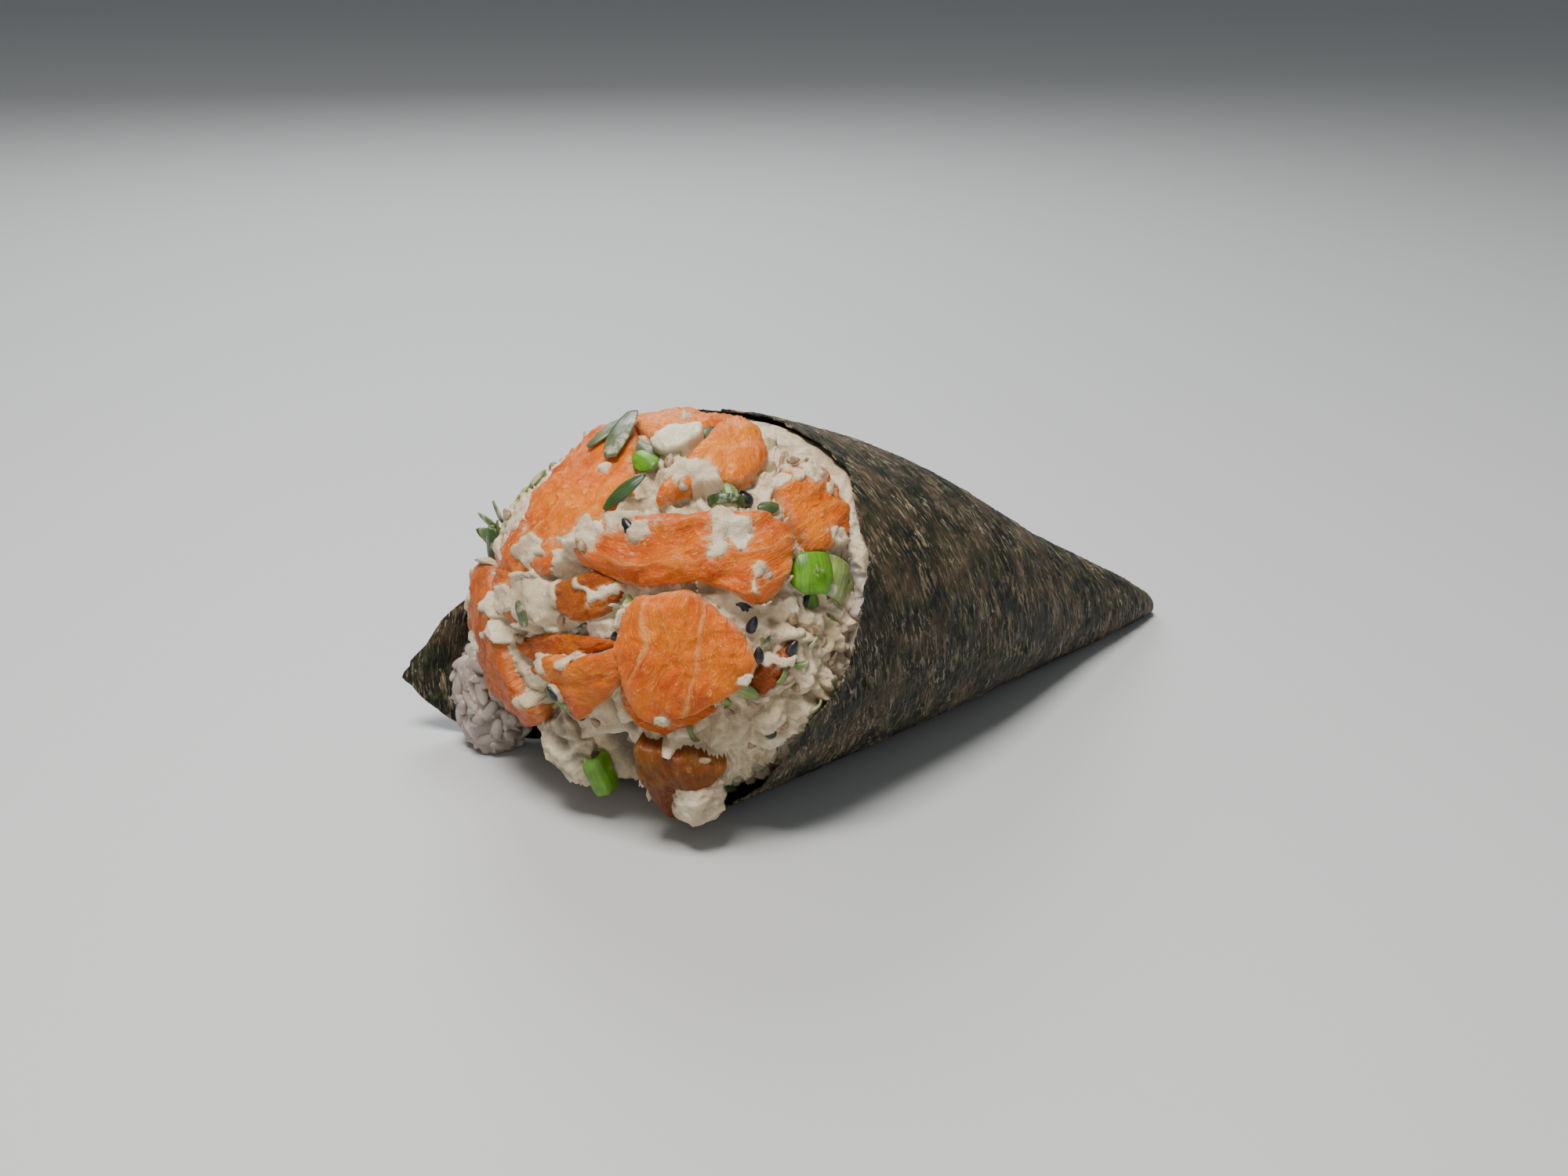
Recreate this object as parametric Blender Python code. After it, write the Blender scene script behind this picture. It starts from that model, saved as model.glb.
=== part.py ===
"""Temaki hand roll: a cone of toasted nori lying on its side, overfilled with rice and salmon in cream dressing.

Frame: +Z up, +X from the open mouth towards the tip, +Y towards the side with the loose corner of nori.
The origin lies on the flat strip that the cone rests on. Sizes are in millimetres and become metres in each mesh.
"""

import math
import random

import bmesh
import bpy
import numpy as np

MM = 0.001
GAP = 0.35
INSIDE_ROOM = 0.3

# Nori cone: distance from the tip and radius there.
TIP_X = 80.8
PROFILE = (
    (0, 2.0), (8, 4.5), (20, 8.0), (35, 12.1), (50, 16.9), (65, 22.0),
    (80, 26.1), (95, 29.4), (110, 32.3), (130, 35.5), (155, 39.6),
)
TIP_ROUNDING = 3.0
CENTRE_HEIGHT = 0.95
SHEET = 0.5
SEAM_STEP = 0.5
SEAM_AT_RIM = 60.0
SEAM_AT_TIP = -20.0
SEAM_WIDTH = 0.5
SEAM_FADE = 12.0
COLUMN_STEP = 7.5
ROW_SHARES = (0.003, 0.012, 0.04, 0.10, 0.20, 0.32, 0.45, 0.58, 0.70, 0.80, 0.90, 1.0)
SOLID_ROWS = 3
HOLLOW_START = 7.0

# Edge of the nori round the mouth: angle about the cone (0 far side, 90 top, 180 near side) and its place along X.
RIM = (
    (60, -31), (90, -24), (120, -21), (150, -27), (180, -34), (210, -46), (240, -47),
    (270, -46), (295, -50), (312, -60), (330, -72), (345, -60), (375, -47), (420, -31),
)
# How far the loose corner spreads away from the round cone, as a factor on the radius.
FLARE = ((285, 1.0), (304, 1.12), (318, 1.36), (330, 1.35), (345, 1.13), (362, 1.0))
FLARE_START, FLARE_FULL = 100.0, 148.0

# Filling: a dome that swells out of the oblique mouth, described by its own axes.
MOUTH = np.array((-42.0, -2.0, 30.5))
MOUTH_TURN, MOUTH_LEAN = math.radians(20), math.radians(18)
DOME_DEPTH, DOME_FAR, DOME_NEAR, DOME_TOP, DOME_BOTTOM = 26.0, 40.0, 32.0, 34.0, 31.0
FACE_SCALE = 34.0
CREAM_DEPTH = -2.6
RICE_DEPTH = -1.2
PLUG_START, PLUG_END = 9.0, 98.0
RICE_FROM_TIP = 62.0

# The rice layer lies under this slanted plane, on the far lower side of the cone.
RICE_NORMAL = np.array((0.0, 0.607, -0.795))
RICE_POINT = np.array((0.0, 0.0, -2.0))
GRAIN = (6.4, 2.7, 2.4)
GRAIN_COUNT = 18
CLUMP_GRAINS = 16

COLOURS = {
    "nori": ((0.020, 0.022, 0.015), 0.55),
    "rice": ((0.62, 0.58, 0.52), 0.45),
    "cream": ((0.58, 0.52, 0.42), 0.40),
    "salmon": ((0.75, 0.24, 0.05), 0.35),
    "scallion": ((0.10, 0.26, 0.03), 0.40),
}

# Salmon pieces, front ones first: outline on the face of the dome, thickness, and height of the middle over the dome.
SALMON = {
    "salmon_front": (
        ((-10, 6), (-18, 8), (-25, 2), (-28, -4), (-21, -11), (-11, -17), (-7, -12), (-4, -3)), 9.0, -2.0),
    "salmon_band": (
        ((8, 9), (2, 16), (-11, 20), (-25, 24), (-31, 19), (-28, 8), (-17, 9), (-3, 6)), 8.0, -2.0),
    "salmon_wedge": (
        ((13, -13), (10, -10), (2, -7), (-5, -4), (-5, -9), (0, -16), (4, -20), (7, -15)), 8.0, -2.5),
    "salmon_tuck": (
        ((9, 4), (10, 1), (5, -2), (0, 1), (-2, 5), (3, 7)), 7.0, -3.0),
    "salmon_left_long": (
        ((18, 40), (21, 22), (27, 6), (22, 2), (10, 6), (2, 18), (4, 27), (10, 37)), 8.0, -3.0),
    "salmon_upper": (
        ((-7, 52), (-16, 46), (-20, 37), (-17, 29), (-10, 26), (-3, 21), (-5, 33), (-5, 44)), 8.0, -3.0),
    "salmon_crown": (
        ((19, 43), (14, 53), (2, 59), (-8, 57), (-4, 47), (0, 38), (8, 37)), 7.0, -3.2),
    "salmon_right": (
        ((-29, 48), (-36, 50), (-43, 42), (-45, 30), (-38, 21), (-33, 22), (-26, 29), (-23, 34)), 8.0, -3.4),
    "salmon_left_slab": (
        ((38, 1), (28, 3), (22, -8), (18, -17), (13, -24), (22, -31), (31, -23), (37, -10)), 9.0, -3.0),
    "salmon_left_top": (
        ((26, 3), (16, 4), (10, 2), (11, -3), (18, -6), (23, -4)), 7.0, -3.4),
    "salmon_shelf": (
        ((20, -11), (11, -6), (2, -4), (-3, -4), (4, -8), (11, -13)), 6.0, -4.0),
    "salmon_under": (
        ((-3, -12), (-9, -13), (-19, -12), (-22, -14), (-13, -20), (-5, -18)), 7.0, -4.0),
    "salmon_low": (
        ((-6, -24), (-14, -22), (-23, -25), (-19, -34), (-12, -50), (-7, -42)), 8.0, -1.0),
    "salmon_sliver": (
        ((-28, -7), (-33, 0), (-37, 2), (-36, -4), (-31, -10)), 6.0, -4.2),
    "salmon_far_high": (
        ((39, 27), (49, 25), (56, 14), (48, 8), (40, 13)), 7.0, -4.6),
    "salmon_far_low": (
        ((44, 2), (55, 1), (56, -13), (47, -18), (43, -8)), 7.0, -4.4),
    "salmon_far_top": (
        ((27, 41), (37, 33), (46, 35), (40, 47), (28, 52)), 7.0, -4.4),
}

# Loose greens as large as a berry: outline on the face, thickness and height.
GREENS = {
    "scallion_ring": (((-33, 17), (-37, 22), (-45, 23), (-49, 19), (-43, 14), (-37, 11)), 5.0, 0.4),
    "scallion_leaf": (((18, 43), (14, 45), (5, 31), (3, 26), (9, 29)), 1.6, 2.4),
    "herb_sprig": (((36, 14), (31, 10), (27, 3), (31, 3), (37, 6), (38, 10)), 3.0, -0.6),
}

# Small things fused to the cream: place on the face and turn. Seeds first, then slices of scallion.
SEEDS = (
    (0.5, 15, 40), (-2, -3, 150), (-26.5, 4, 100), (-24.5, 7.5, 5), (-36, 9, 30), (7, -16, 60),
    (7, -23, 20), (-35, 0, 110), (-32, -20, 45), (-19, 28, 10), (33, -1, 70), (46, 6, 20),
)
SEED = (3.2, 1.9, 1.3)
SLICES = ((2, 20.5, 60, (7.0, 2.0, 2.0)), (-16, 24, 120, (4.6, 3.4, 2.4)), (-3, 1.5, 20, (4.4, 3.6, 2.4)),
          (3, 28, 10, (3.4, 3.2, 2.2)), (10.5, -20, 140, (4.2, 1.8, 1.8)))
HANGING_LUMP = ((-62.5, 1.3, 13.3), (6.5, 7.0, 8.5))
LOW_LUMP = ((-54.5, -20.5, 10.0), (5.0, 5.5, 5.8))
HANGING_GREEN = ((-64.0, -4.2, 10.0), (2.2, 2.2, 3.0))
RICE_CLUMP = ((-61.0, 31.4, 9.5), (7.2, 9.0, 11.6))
LUMP_HEIGHT, LUMP_PITCH = 1.5, 6.5


def clear_scene():
    for obj in list(bpy.data.objects):
        bpy.data.objects.remove(obj)


def material(name):
    """One Principled finish for each food."""
    found = bpy.data.materials.get(name)
    if found:
        return found
    colour, roughness = COLOURS[name]
    made = bpy.data.materials.new(name)
    made.use_nodes = True
    shader = made.node_tree.nodes["Principled BSDF"]
    shader.inputs["Base Color"].default_value = (*colour, 1.0)
    shader.inputs["Roughness"].default_value = roughness
    return made


def mesh_object(name, points, faces, finish=None):
    """A mesh of millimetre points as an object in metres, its faces turned outwards."""
    mesh = bpy.data.meshes.new(name)
    mesh.from_pydata([tuple(p) for p in np.asarray(points) * MM], [], faces)
    turned = bmesh.new()
    turned.from_mesh(mesh)
    bmesh.ops.recalc_face_normals(turned, faces=turned.faces)
    bmesh.ops.triangulate(turned, faces=turned.faces)
    turned.to_mesh(mesh)
    turned.free()
    mesh.shade_smooth()
    obj = bpy.data.objects.new(name, mesh)
    if finish:
        mesh.materials.append(material(finish))
    bpy.context.scene.collection.objects.link(obj)
    return obj


def ring_solid(name, rings, start, end, finish=None):
    """A closed solid from rings of equally many points, with a point that closes each end."""
    rows, columns = rings.shape[:2]
    points = np.vstack([rings.reshape(-1, 3), [start], [end]])
    faces = []
    for i in range(rows - 1):
        for j in range(columns):
            k = (j + 1) % columns
            low, high = i * columns, (i + 1) * columns
            faces.append((low + j, low + k, high + k, high + j))
    first, last = rows * columns, rows * columns + 1
    for j in range(columns):
        k = (j + 1) % columns
        faces.append((first, k, j))
        faces.append((last, (rows - 1) * columns + j, (rows - 1) * columns + k))
    return mesh_object(name, points, faces, finish)


def ellipsoid(name, centre, half, axes=None, around=6, rows=4):
    """A small closed ellipsoid; axes holds its three directions as rows."""
    tilt = np.linspace(0, math.pi, rows + 1)[1:-1, None]
    turn = np.linspace(0, 2 * math.pi, around, endpoint=False)[None]
    local = np.stack([np.sin(tilt) * np.cos(turn), np.sin(tilt) * np.sin(turn), np.cos(tilt) + 0 * turn], -1)
    local = local[..., [2, 0, 1]] * np.array(half)
    ends = np.array(((half[0], 0, 0), (-half[0], 0, 0)))
    axes = np.eye(3) if axes is None else axes
    return ring_solid(name, local @ axes + centre, ends[0] @ axes + centre, ends[1] @ axes + centre)


def modify(obj, kind, other):
    """Applies one exact Boolean with another object or a collection of them."""
    change = obj.modifiers.new(kind, "BOOLEAN")
    change.operation = kind
    change.solver = "EXACT"
    if isinstance(other, bpy.types.Collection):
        change.operand_type = "COLLECTION"
        change.collection = other
    else:
        change.object = other
    seen = obj.evaluated_get(bpy.context.evaluated_depsgraph_get())
    mesh = bpy.data.meshes.new_from_object(seen)
    obj.modifiers.clear()
    obj.data = mesh


def fuse(obj, parts):
    """Joins small solids to obj by one union on a collection, which is then emptied."""
    together = bpy.data.collections.new(obj.name + "_parts")
    bpy.context.scene.collection.children.link(together)
    for part in parts:
        bpy.context.scene.collection.objects.unlink(part)
        together.objects.link(part)
    bpy.context.view_layer.update()
    modify(obj, "UNION", together)
    for part in parts:
        bpy.data.objects.remove(part)
    bpy.data.collections.remove(together)


def keep_largest(obj):
    """Drops the loose scraps that a cut leaves."""
    mesh = bmesh.new()
    mesh.from_mesh(obj.data)
    mesh.verts.ensure_lookup_table()
    unseen, islands = set(mesh.verts), []
    while unseen:
        stack = [unseen.pop()]
        island = [stack[0]]
        while stack:
            for edge in stack.pop().link_edges:
                for vert in edge.verts:
                    if vert in unseen:
                        unseen.discard(vert)
                        stack.append(vert)
                        island.append(vert)
        islands.append(island)
    islands.sort(key=len)
    for island in islands[:-1]:
        bmesh.ops.delete(mesh, geom=island, context="VERTS")
    bmesh.ops.triangulate(mesh, faces=mesh.faces)
    mesh.to_mesh(obj.data)
    mesh.free()


def cut(obj, cutters):
    """Takes each cutter out of obj in turn."""
    for cutter in cutters:
        modify(obj, "DIFFERENCE", cutter)
    keep_largest(obj)


def smooth_table(x, table):
    """Smooth curve through the rows of a table: a cubic between each two, with the mean slope at each row."""
    xs, ys = np.array(table, float).T
    slope = np.gradient(ys, xs)
    i = np.clip(np.searchsorted(xs, x) - 1, 0, len(xs) - 2)
    gap = xs[i + 1] - xs[i]
    t = (x - xs[i]) / gap
    start = (1 + 2 * t) * (1 - t)**2 * ys[i] + t * (1 - t)**2 * gap * slope[i]
    return start + t * t * (3 - 2 * t) * ys[i + 1] + t * t * (t - 1) * gap * slope[i + 1]


def radius(s):
    """Cone radius at the distance s from the tip, rounded off at the very tip."""
    blunt = np.clip(1 - s / TIP_ROUNDING, 0, 1)
    return smooth_table(s, PROFILE) * np.sqrt(np.clip(1 - blunt * blunt, 0, 1))


def rim_distance(angle):
    """Distance from the tip to the nori's edge at an angle about the cone."""
    turned = (angle - RIM[0][0]) % 360 + RIM[0][0]
    return TIP_X - np.interp(turned, [a for a, _ in RIM], [x for _, x in RIM])


def flare(angle, s):
    """Radius factor of the loose corner, which grows towards the mouth."""
    turned = (angle - 180) % 360 + 180
    most = np.interp(turned, [a for a, _ in FLARE], [f for _, f in FLARE])
    share = np.clip((s - FLARE_START) / (FLARE_FULL - FLARE_START), 0, 1)
    return 1 + (most - 1) * share * share * (3 - 2 * share)


def ripple(angle, s):
    """Low waves of the dry sheet, none at the tip."""
    wave = np.sin(3 * np.radians(angle) + s / 17) + 0.7 * np.sin(5 * np.radians(angle) - s / 11 + 2)
    return 0.22 * wave * np.clip(s / 60, 0, 1)


def cone_point(s, angle, offset, floor, wavy=1.0):
    """A point of the cone's wall, moved out by offset, pressed flat where it would sink under floor."""
    reach = (radius(s) + offset + wavy * ripple(angle, s)) * flare(angle, s)
    y = reach * np.cos(np.radians(angle))
    z = np.maximum(CENTRE_HEIGHT * radius(s) + reach * np.sin(np.radians(angle)), floor)
    return np.stack(np.broadcast_arrays(TIP_X - s, y, z), -1)


def wrap_grid(beyond):
    """Angles, distances from the tip and turns of the rolled sheet's grid; its columns drift with the seam."""
    turns = np.append(np.arange(0, 360, COLUMN_STEP), 360 - SEAM_WIDTH)
    share = np.array(ROW_SHARES)[:, None]
    angle = SEAM_AT_TIP + (SEAM_AT_RIM - SEAM_AT_TIP) * share + turns
    return angle, share * (rim_distance(angle) + beyond), turns


def nori_wrap():
    """One sheet rolled up: outer face from the tip to the rim, then the inner face back to the tip."""
    angle, s, turns = wrap_grid(0.0)
    layer = SEAM_STEP * (1 - turns / turns[-1]) * np.clip(s / SEAM_FADE, 0, 1)
    outer = cone_point(s, angle, layer, 0.0)
    inner = cone_point(s, angle, -SHEET, SHEET)[SOLID_ROWS:][::-1]
    tip = cone_point(np.array(0.0), np.array(0.0), 0, 0)
    hollow = (TIP_X - HOLLOW_START, 0.0, CENTRE_HEIGHT * float(radius(np.array(HOLLOW_START))))
    return ring_solid("nori_wrap", np.concatenate([outer, inner]), tip, hollow, "nori")


def outside_of_nori(name):
    """The space that the wrap takes and all that lies outside it: whatever is inside is cut by this."""
    angle, s, _ = wrap_grid(GAP)
    angle, s = angle[SOLID_ROWS:, :-1], s[SOLID_ROWS:, :-1]
    inner = cone_point(s, angle, -SHEET - GAP, SHEET + GAP)
    outer = cone_point(s, angle, 26.0, -40.0, 0.0)[::-1]
    near_tip = (TIP_X - HOLLOW_START, 0.0, CENTRE_HEIGHT * float(radius(np.array(HOLLOW_START))))
    return ring_solid(name, np.concatenate([inner, outer]), near_tip, (TIP_X + 6.0, 0.0, 0.0))


def under_plate(name):
    """A slab below the food, so that nothing sinks under what the roll rests on."""
    points = [(x, y, z) for x in (-110, 100) for y in (-80, 90) for z in (-40, GAP)]
    faces = [(0, 1, 3, 2), (4, 6, 7, 5), (0, 4, 5, 1), (2, 3, 7, 6), (0, 2, 6, 4), (1, 5, 7, 3)]
    return mesh_object(name, points, faces)


def mouth_axes():
    """Rows: out of the mouth, along it to the far side, and up along it."""
    out = np.array((-math.cos(MOUTH_TURN) * math.cos(MOUTH_LEAN),
                    -math.sin(MOUTH_TURN) * math.cos(MOUTH_LEAN), math.sin(MOUTH_LEAN)))
    side = np.array((-math.sin(MOUTH_TURN), math.cos(MOUTH_TURN), 0.0))
    return np.stack([out, side, -np.cross(side, -out)])


AXES = mouth_axes()


def on_face(a, b, height):
    """Point over the dome at face coordinates (a towards the far side, b up), which are arc lengths from its middle."""
    a, b, height = np.broadcast_arrays(np.asarray(a, float), np.asarray(b, float), np.asarray(height, float))
    reach = np.hypot(a, b) + 1e-9
    turn = reach / FACE_SCALE
    unit = np.stack([np.cos(turn), np.sin(turn) * a / reach, np.sin(turn) * b / reach], -1)
    half = np.stack([np.full(a.shape, DOME_DEPTH), np.where(a > 0, DOME_FAR, DOME_NEAR),
                     np.where(b > 0, DOME_TOP, DOME_BOTTOM)], -1)
    normal = unit / half
    normal /= np.linalg.norm(normal, axis=-1, keepdims=True)
    return MOUTH + (unit * half + height[..., None] * normal) @ AXES


def smooth_outline(corners, count):
    """Closed Catmull-Rom curve through the corners, as count points."""
    p = np.array(corners, float)
    t = np.arange(count) * len(p) / count
    i = t.astype(int)
    f = (t - i)[:, None]
    before, here, after, beyond = (p[(i + k) % len(p)] for k in (-1, 0, 1, 2))
    return 0.5 * (2 * here + (after - before) * f + (2 * before - 5 * here + 4 * after - beyond) * f**2
                  + (3 * here - before - 3 * after + beyond) * f**3)


def slab(name, corners, thickness, lift, grow=0.0, around=15, finish=None):
    """A piece with rounded edges that follows the dome: its outline swept through a rounded section."""
    outline = smooth_outline(corners, around)
    middle = outline.mean(0)
    reach = np.linalg.norm(outline - middle, axis=1).mean()
    section = np.array(((0.65, -1.0), (1.0, -0.45), (1.0, 0.35), (0.88, 0.84), (0.5, 1.0)))
    share = section[:, 0] * (1 + 1.3 * grow / reach)
    flat = middle + share[:, None, None] * (outline - middle)
    height = lift + section[:, 1, None] * (thickness / 2 + grow) + 0 * flat[..., 0]
    rings = on_face(flat[..., 0], flat[..., 1], height)
    half = thickness / 2 + grow + 0.2
    return ring_solid(name, rings, on_face(*middle, lift - half), on_face(*middle, lift + half), finish)


def lumps(a, b):
    """Uneven height of the dressing over its base, from a few crossed waves."""
    k = 2 * math.pi / LUMP_PITCH
    wave = np.sin(k * a + 1.3 * np.sin(k * 0.5 * b)) + np.sin(k * 0.9 * b + 1.1 * np.sin(k * 0.6 * a + 1))
    return LUMP_HEIGHT * 0.5 * wave


def filling(name, depth, bumpy, start, finish=None):
    """The whole contents: rings up the inside of the cone, then rings over the dome to its middle."""
    angle = np.arange(0, 360, 10)
    inside = [cone_point(s, angle, -SHEET - GAP - INSIDE_ROOM, SHEET + GAP + INSIDE_ROOM, 0.0)
              for s in np.linspace(start, PLUG_END, 5)]
    dome = []
    for turn in np.radians((94, 82, 70, 58, 46, 34, 22, 11)):
        a = turn * FACE_SCALE * np.cos(np.radians(angle))
        b = turn * FACE_SCALE * np.sin(np.radians(angle))
        dome.append(on_face(a, b, depth + bumpy * lumps(a, b)))
    first = (TIP_X - start + 1.0, 0.0, CENTRE_HEIGHT * float(radius(np.array(start))))
    return ring_solid(name, np.array(inside + dome), first, on_face(0, 0, depth), finish)


def rice_space(name, grow):
    """Where rice is: under the slanted plane near the mouth, and everything towards the tip."""
    side = np.cross(RICE_NORMAL, (1.0, 0.0, 0.0))
    front, back = np.array((-100.0, 0, 0)), np.array((TIP_X - RICE_FROM_TIP - grow, 0, 0))
    across = (-90 * side, 90 * side)
    deep = (-grow * RICE_NORMAL, 90 * RICE_NORMAL)
    points = [RICE_POINT + x + y + z for x in (front, back + (1.0, 0, 0)) for y in across for z in deep]
    faces = [(0, 1, 3, 2), (4, 6, 7, 5), (0, 4, 5, 1), (2, 3, 7, 6), (0, 2, 6, 4), (1, 5, 7, 3)]
    layer = mesh_object(name, points, faces)
    points = [(x, y, z) for x in (back[0], 95.0) for y in (-60.0, 60.0) for z in (-30.0, 90.0)]
    tip_end = mesh_object(name + "_tip", points, faces)
    modify(layer, "UNION", tip_end)
    bpy.data.objects.remove(tip_end)
    return layer


def grains():
    """Cooked grains on the rice that shows at the mouth, scattered by a seeded draw."""
    draw = random.Random(7)
    made = []
    tries = 0
    while len(made) < GRAIN_COUNT and tries < 4000:
        tries += 1
        a, b = draw.uniform(14, 58), draw.uniform(-44, -6)
        place = on_face(a, b, RICE_DEPTH + 0.2)
        buried = (place - RICE_POINT) @ RICE_NORMAL < 2.2 or place[2] < 3.4
        if buried or np.hypot(a, b) > 62:
            continue
        yaw, pitch = draw.uniform(0, math.pi), draw.uniform(-0.4, 0.4)
        forward = on_face(a + math.cos(yaw), b + math.sin(yaw), RICE_DEPTH + pitch) - place
        forward /= np.linalg.norm(forward)
        up = on_face(a, b, 1.0) - on_face(a, b, 0.0)
        side = np.cross(up, forward)
        side /= np.linalg.norm(side)
        turned = np.stack([forward, side, np.cross(forward, side)])
        made.append(ellipsoid(f"grain_{len(made)}", place, np.array(GRAIN) / 2, turned))
    return made


def clump_grains():
    """Grains that stand out of the clump pushed out beside the dome, each lying along its surface."""
    draw = random.Random(11)
    centre, half = np.array(RICE_CLUMP[0]), np.array(RICE_CLUMP[1])
    made = []
    for i in range(CLUMP_GRAINS):
        rise = -0.35 + 1.25 * (i + 0.5) / CLUMP_GRAINS
        turn = math.radians(95) + math.radians(165) * (0.618 * i % 1)
        level = math.sqrt(1 - rise * rise)
        up = np.array((math.cos(turn) * level, math.sin(turn) * level, rise))
        place = centre + up * (half - 0.2)
        forward = np.cross(up, (draw.uniform(-1, 1), draw.uniform(-1, 1), draw.uniform(-1, 1)))
        forward /= np.linalg.norm(forward)
        turned = np.stack([forward, np.cross(up, forward), up])
        made.append(ellipsoid(f"clump_grain_{i}", place, np.array(GRAIN) / 2, turned))
    return made


def on_cream(name, a, b, turn, size, sunk, around=6):
    """A small ellipsoid that lies half sunk in the dressing."""
    height = CREAM_DEPTH + lumps(a, b) + size[2] / 2 - sunk
    place = on_face(a, b, height)
    forward = on_face(a + math.cos(math.radians(turn)), b + math.sin(math.radians(turn)), height) - place
    forward /= np.linalg.norm(forward)
    up = on_face(a, b, height + 1) - place
    side = np.cross(up, forward)
    side /= np.linalg.norm(side)
    turned = np.stack([forward, side, np.cross(forward, side)])
    return ellipsoid(name, place, np.array(size) / 2, turned, around)


def remove(objects):
    for obj in objects:
        bpy.data.objects.remove(obj)


def build():
    clear_scene()
    nori_wrap()
    wall = outside_of_nori("cut_wall")
    plate = under_plate("cut_plate")

    grown, made = [], []
    for name, (corners, thickness, lift) in {**GREENS, **SALMON}.items():
        finish = "salmon" if name in SALMON else "scallion"
        around = 15 if name in SALMON else 11
        piece = slab(name, corners, thickness, lift, 0.0, around, finish)
        cut(piece, [wall, plate, *grown])
        made.append(piece)
        grown.append(slab("cut_" + name, corners, thickness, lift, GAP, around))

    rice = filling("rice", RICE_DEPTH, 0.0, PLUG_START, "rice")
    outer_rice = rice_space("cut_rice_space", 0.0)
    modify(rice, "INTERSECT", outer_rice)
    clump = ellipsoid("clump", np.array(RICE_CLUMP[0]), RICE_CLUMP[1], None, 12, 8)
    fuse(rice, [clump, *grains(), *clump_grains()])
    cut(rice, [wall, plate, *grown])

    cream = filling("cream_filling", CREAM_DEPTH, 1.0, RICE_FROM_TIP + 4.0, "cream")
    bits = [ellipsoid("lump_a", np.array(HANGING_LUMP[0]), HANGING_LUMP[1], None, 12, 8),
            ellipsoid("lump_b", np.array(LOW_LUMP[0]), LOW_LUMP[1], None, 12, 8),
            ellipsoid("hanging_green", np.array(HANGING_GREEN[0]), HANGING_GREEN[1], None, 8, 6)]
    bits += [on_cream(f"seed_{i}", a, b, turn, SEED, 0.5) for i, (a, b, turn) in enumerate(SEEDS)]
    bits += [on_cream(f"slice_{i}", a, b, turn, size, 1.0, 8) for i, (a, b, turn, size) in enumerate(SLICES)]
    fuse(cream, bits)
    clear_rice = rice_space("cut_rice_clear", GAP)
    cut(cream, [clear_rice, wall, plate, *grown])

    remove([wall, plate, outer_rice, clear_rice, *grown])


build()
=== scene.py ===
import math
import random
import bpy
import numpy as np
from mathutils import Matrix


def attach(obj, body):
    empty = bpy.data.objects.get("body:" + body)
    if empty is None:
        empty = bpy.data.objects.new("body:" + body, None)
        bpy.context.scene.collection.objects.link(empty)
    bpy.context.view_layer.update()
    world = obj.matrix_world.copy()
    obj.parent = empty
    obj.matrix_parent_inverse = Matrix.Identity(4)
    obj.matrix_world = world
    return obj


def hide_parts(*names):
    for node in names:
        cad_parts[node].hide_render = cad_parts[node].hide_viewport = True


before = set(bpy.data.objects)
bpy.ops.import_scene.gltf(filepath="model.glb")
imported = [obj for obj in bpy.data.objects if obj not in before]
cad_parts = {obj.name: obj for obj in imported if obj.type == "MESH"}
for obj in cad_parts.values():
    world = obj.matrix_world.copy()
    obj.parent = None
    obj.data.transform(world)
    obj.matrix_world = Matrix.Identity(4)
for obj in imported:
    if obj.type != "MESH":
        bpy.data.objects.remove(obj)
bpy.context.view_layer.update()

# Toasted nori sheet
# Half a sheet of pressed seaweed, rolled up from one corner into a cone. It is dry and fibrous like coarse
# paper, ragged at the rim and pressed flat where it lies, and its last corner stands away from the roll.
MM = 0.001
TIP_X = 80.8
PROFILE = (
    (0, 2.0), (8, 4.5), (20, 8.0), (35, 12.1), (50, 16.9), (65, 22.0),
    (80, 26.1), (95, 29.4), (110, 32.3), (130, 35.5), (155, 39.6),
)
TIP_ROUNDING = 3.0
CENTRE_HEIGHT = 0.95
RIM = (
    (60, -31), (90, -24), (120, -21), (150, -27), (180, -34), (210, -46), (240, -47),
    (270, -46), (295, -50), (312, -60), (330, -72), (345, -60), (375, -47), (420, -31),
)
FLARE = ((285, 1.0), (304, 1.12), (318, 1.36), (330, 1.35), (345, 1.13), (362, 1.0))
FLARE_START, FLARE_FULL = 100.0, 148.0
SHEET = 0.32
SKIN_IN = 0.3
SEAM_STEP, SEAM_AT_RIM, SEAM_AT_TIP, SEAM_WIDTH = 0.5, 60.0, -20.0, 0.15
SEAM_FADE, RELIEF_FADE = 12.0, 10.0
NORI_AROUND, NORI_OUTSIDE, NORI_INSIDE, NORI_TIP_ROWS = 380, 205, 40, 13
TIP_START, TIP_SHARE = 0.002, 0.06
WAVE_DEPTH, WAVE_FULL = 0.22, 60.0
RIM_TEAR, RIM_CIRCLE = 1.3, 32.0
SWELL_DEPTH, FIBRE_DEPTH = 0.26, 0.19
HOLLOW_START, HOLLOW_ROW = 9.0, 12


def coordinates(*axes):
    """Numbers or arrays for each axis or corner, brought to one shape and stacked as the last axis."""
    return np.stack(np.broadcast_arrays(*axes), -1)


def smooth_table(x, table):
    """Smooth curve through the rows of a table: a cubic between each two, with the mean slope at each row."""
    xs, ys = np.array(table, float).T
    slope = np.gradient(ys, xs)
    i = np.clip(np.searchsorted(xs, x) - 1, 0, len(xs) - 2)
    gap = xs[i + 1] - xs[i]
    t = (x - xs[i]) / gap
    start = (1 + 2 * t) * (1 - t)**2 * ys[i] + t * (1 - t)**2 * gap * slope[i]
    return start + t * t * (3 - 2 * t) * ys[i + 1] + t * t * (t - 1) * gap * slope[i + 1]


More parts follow.
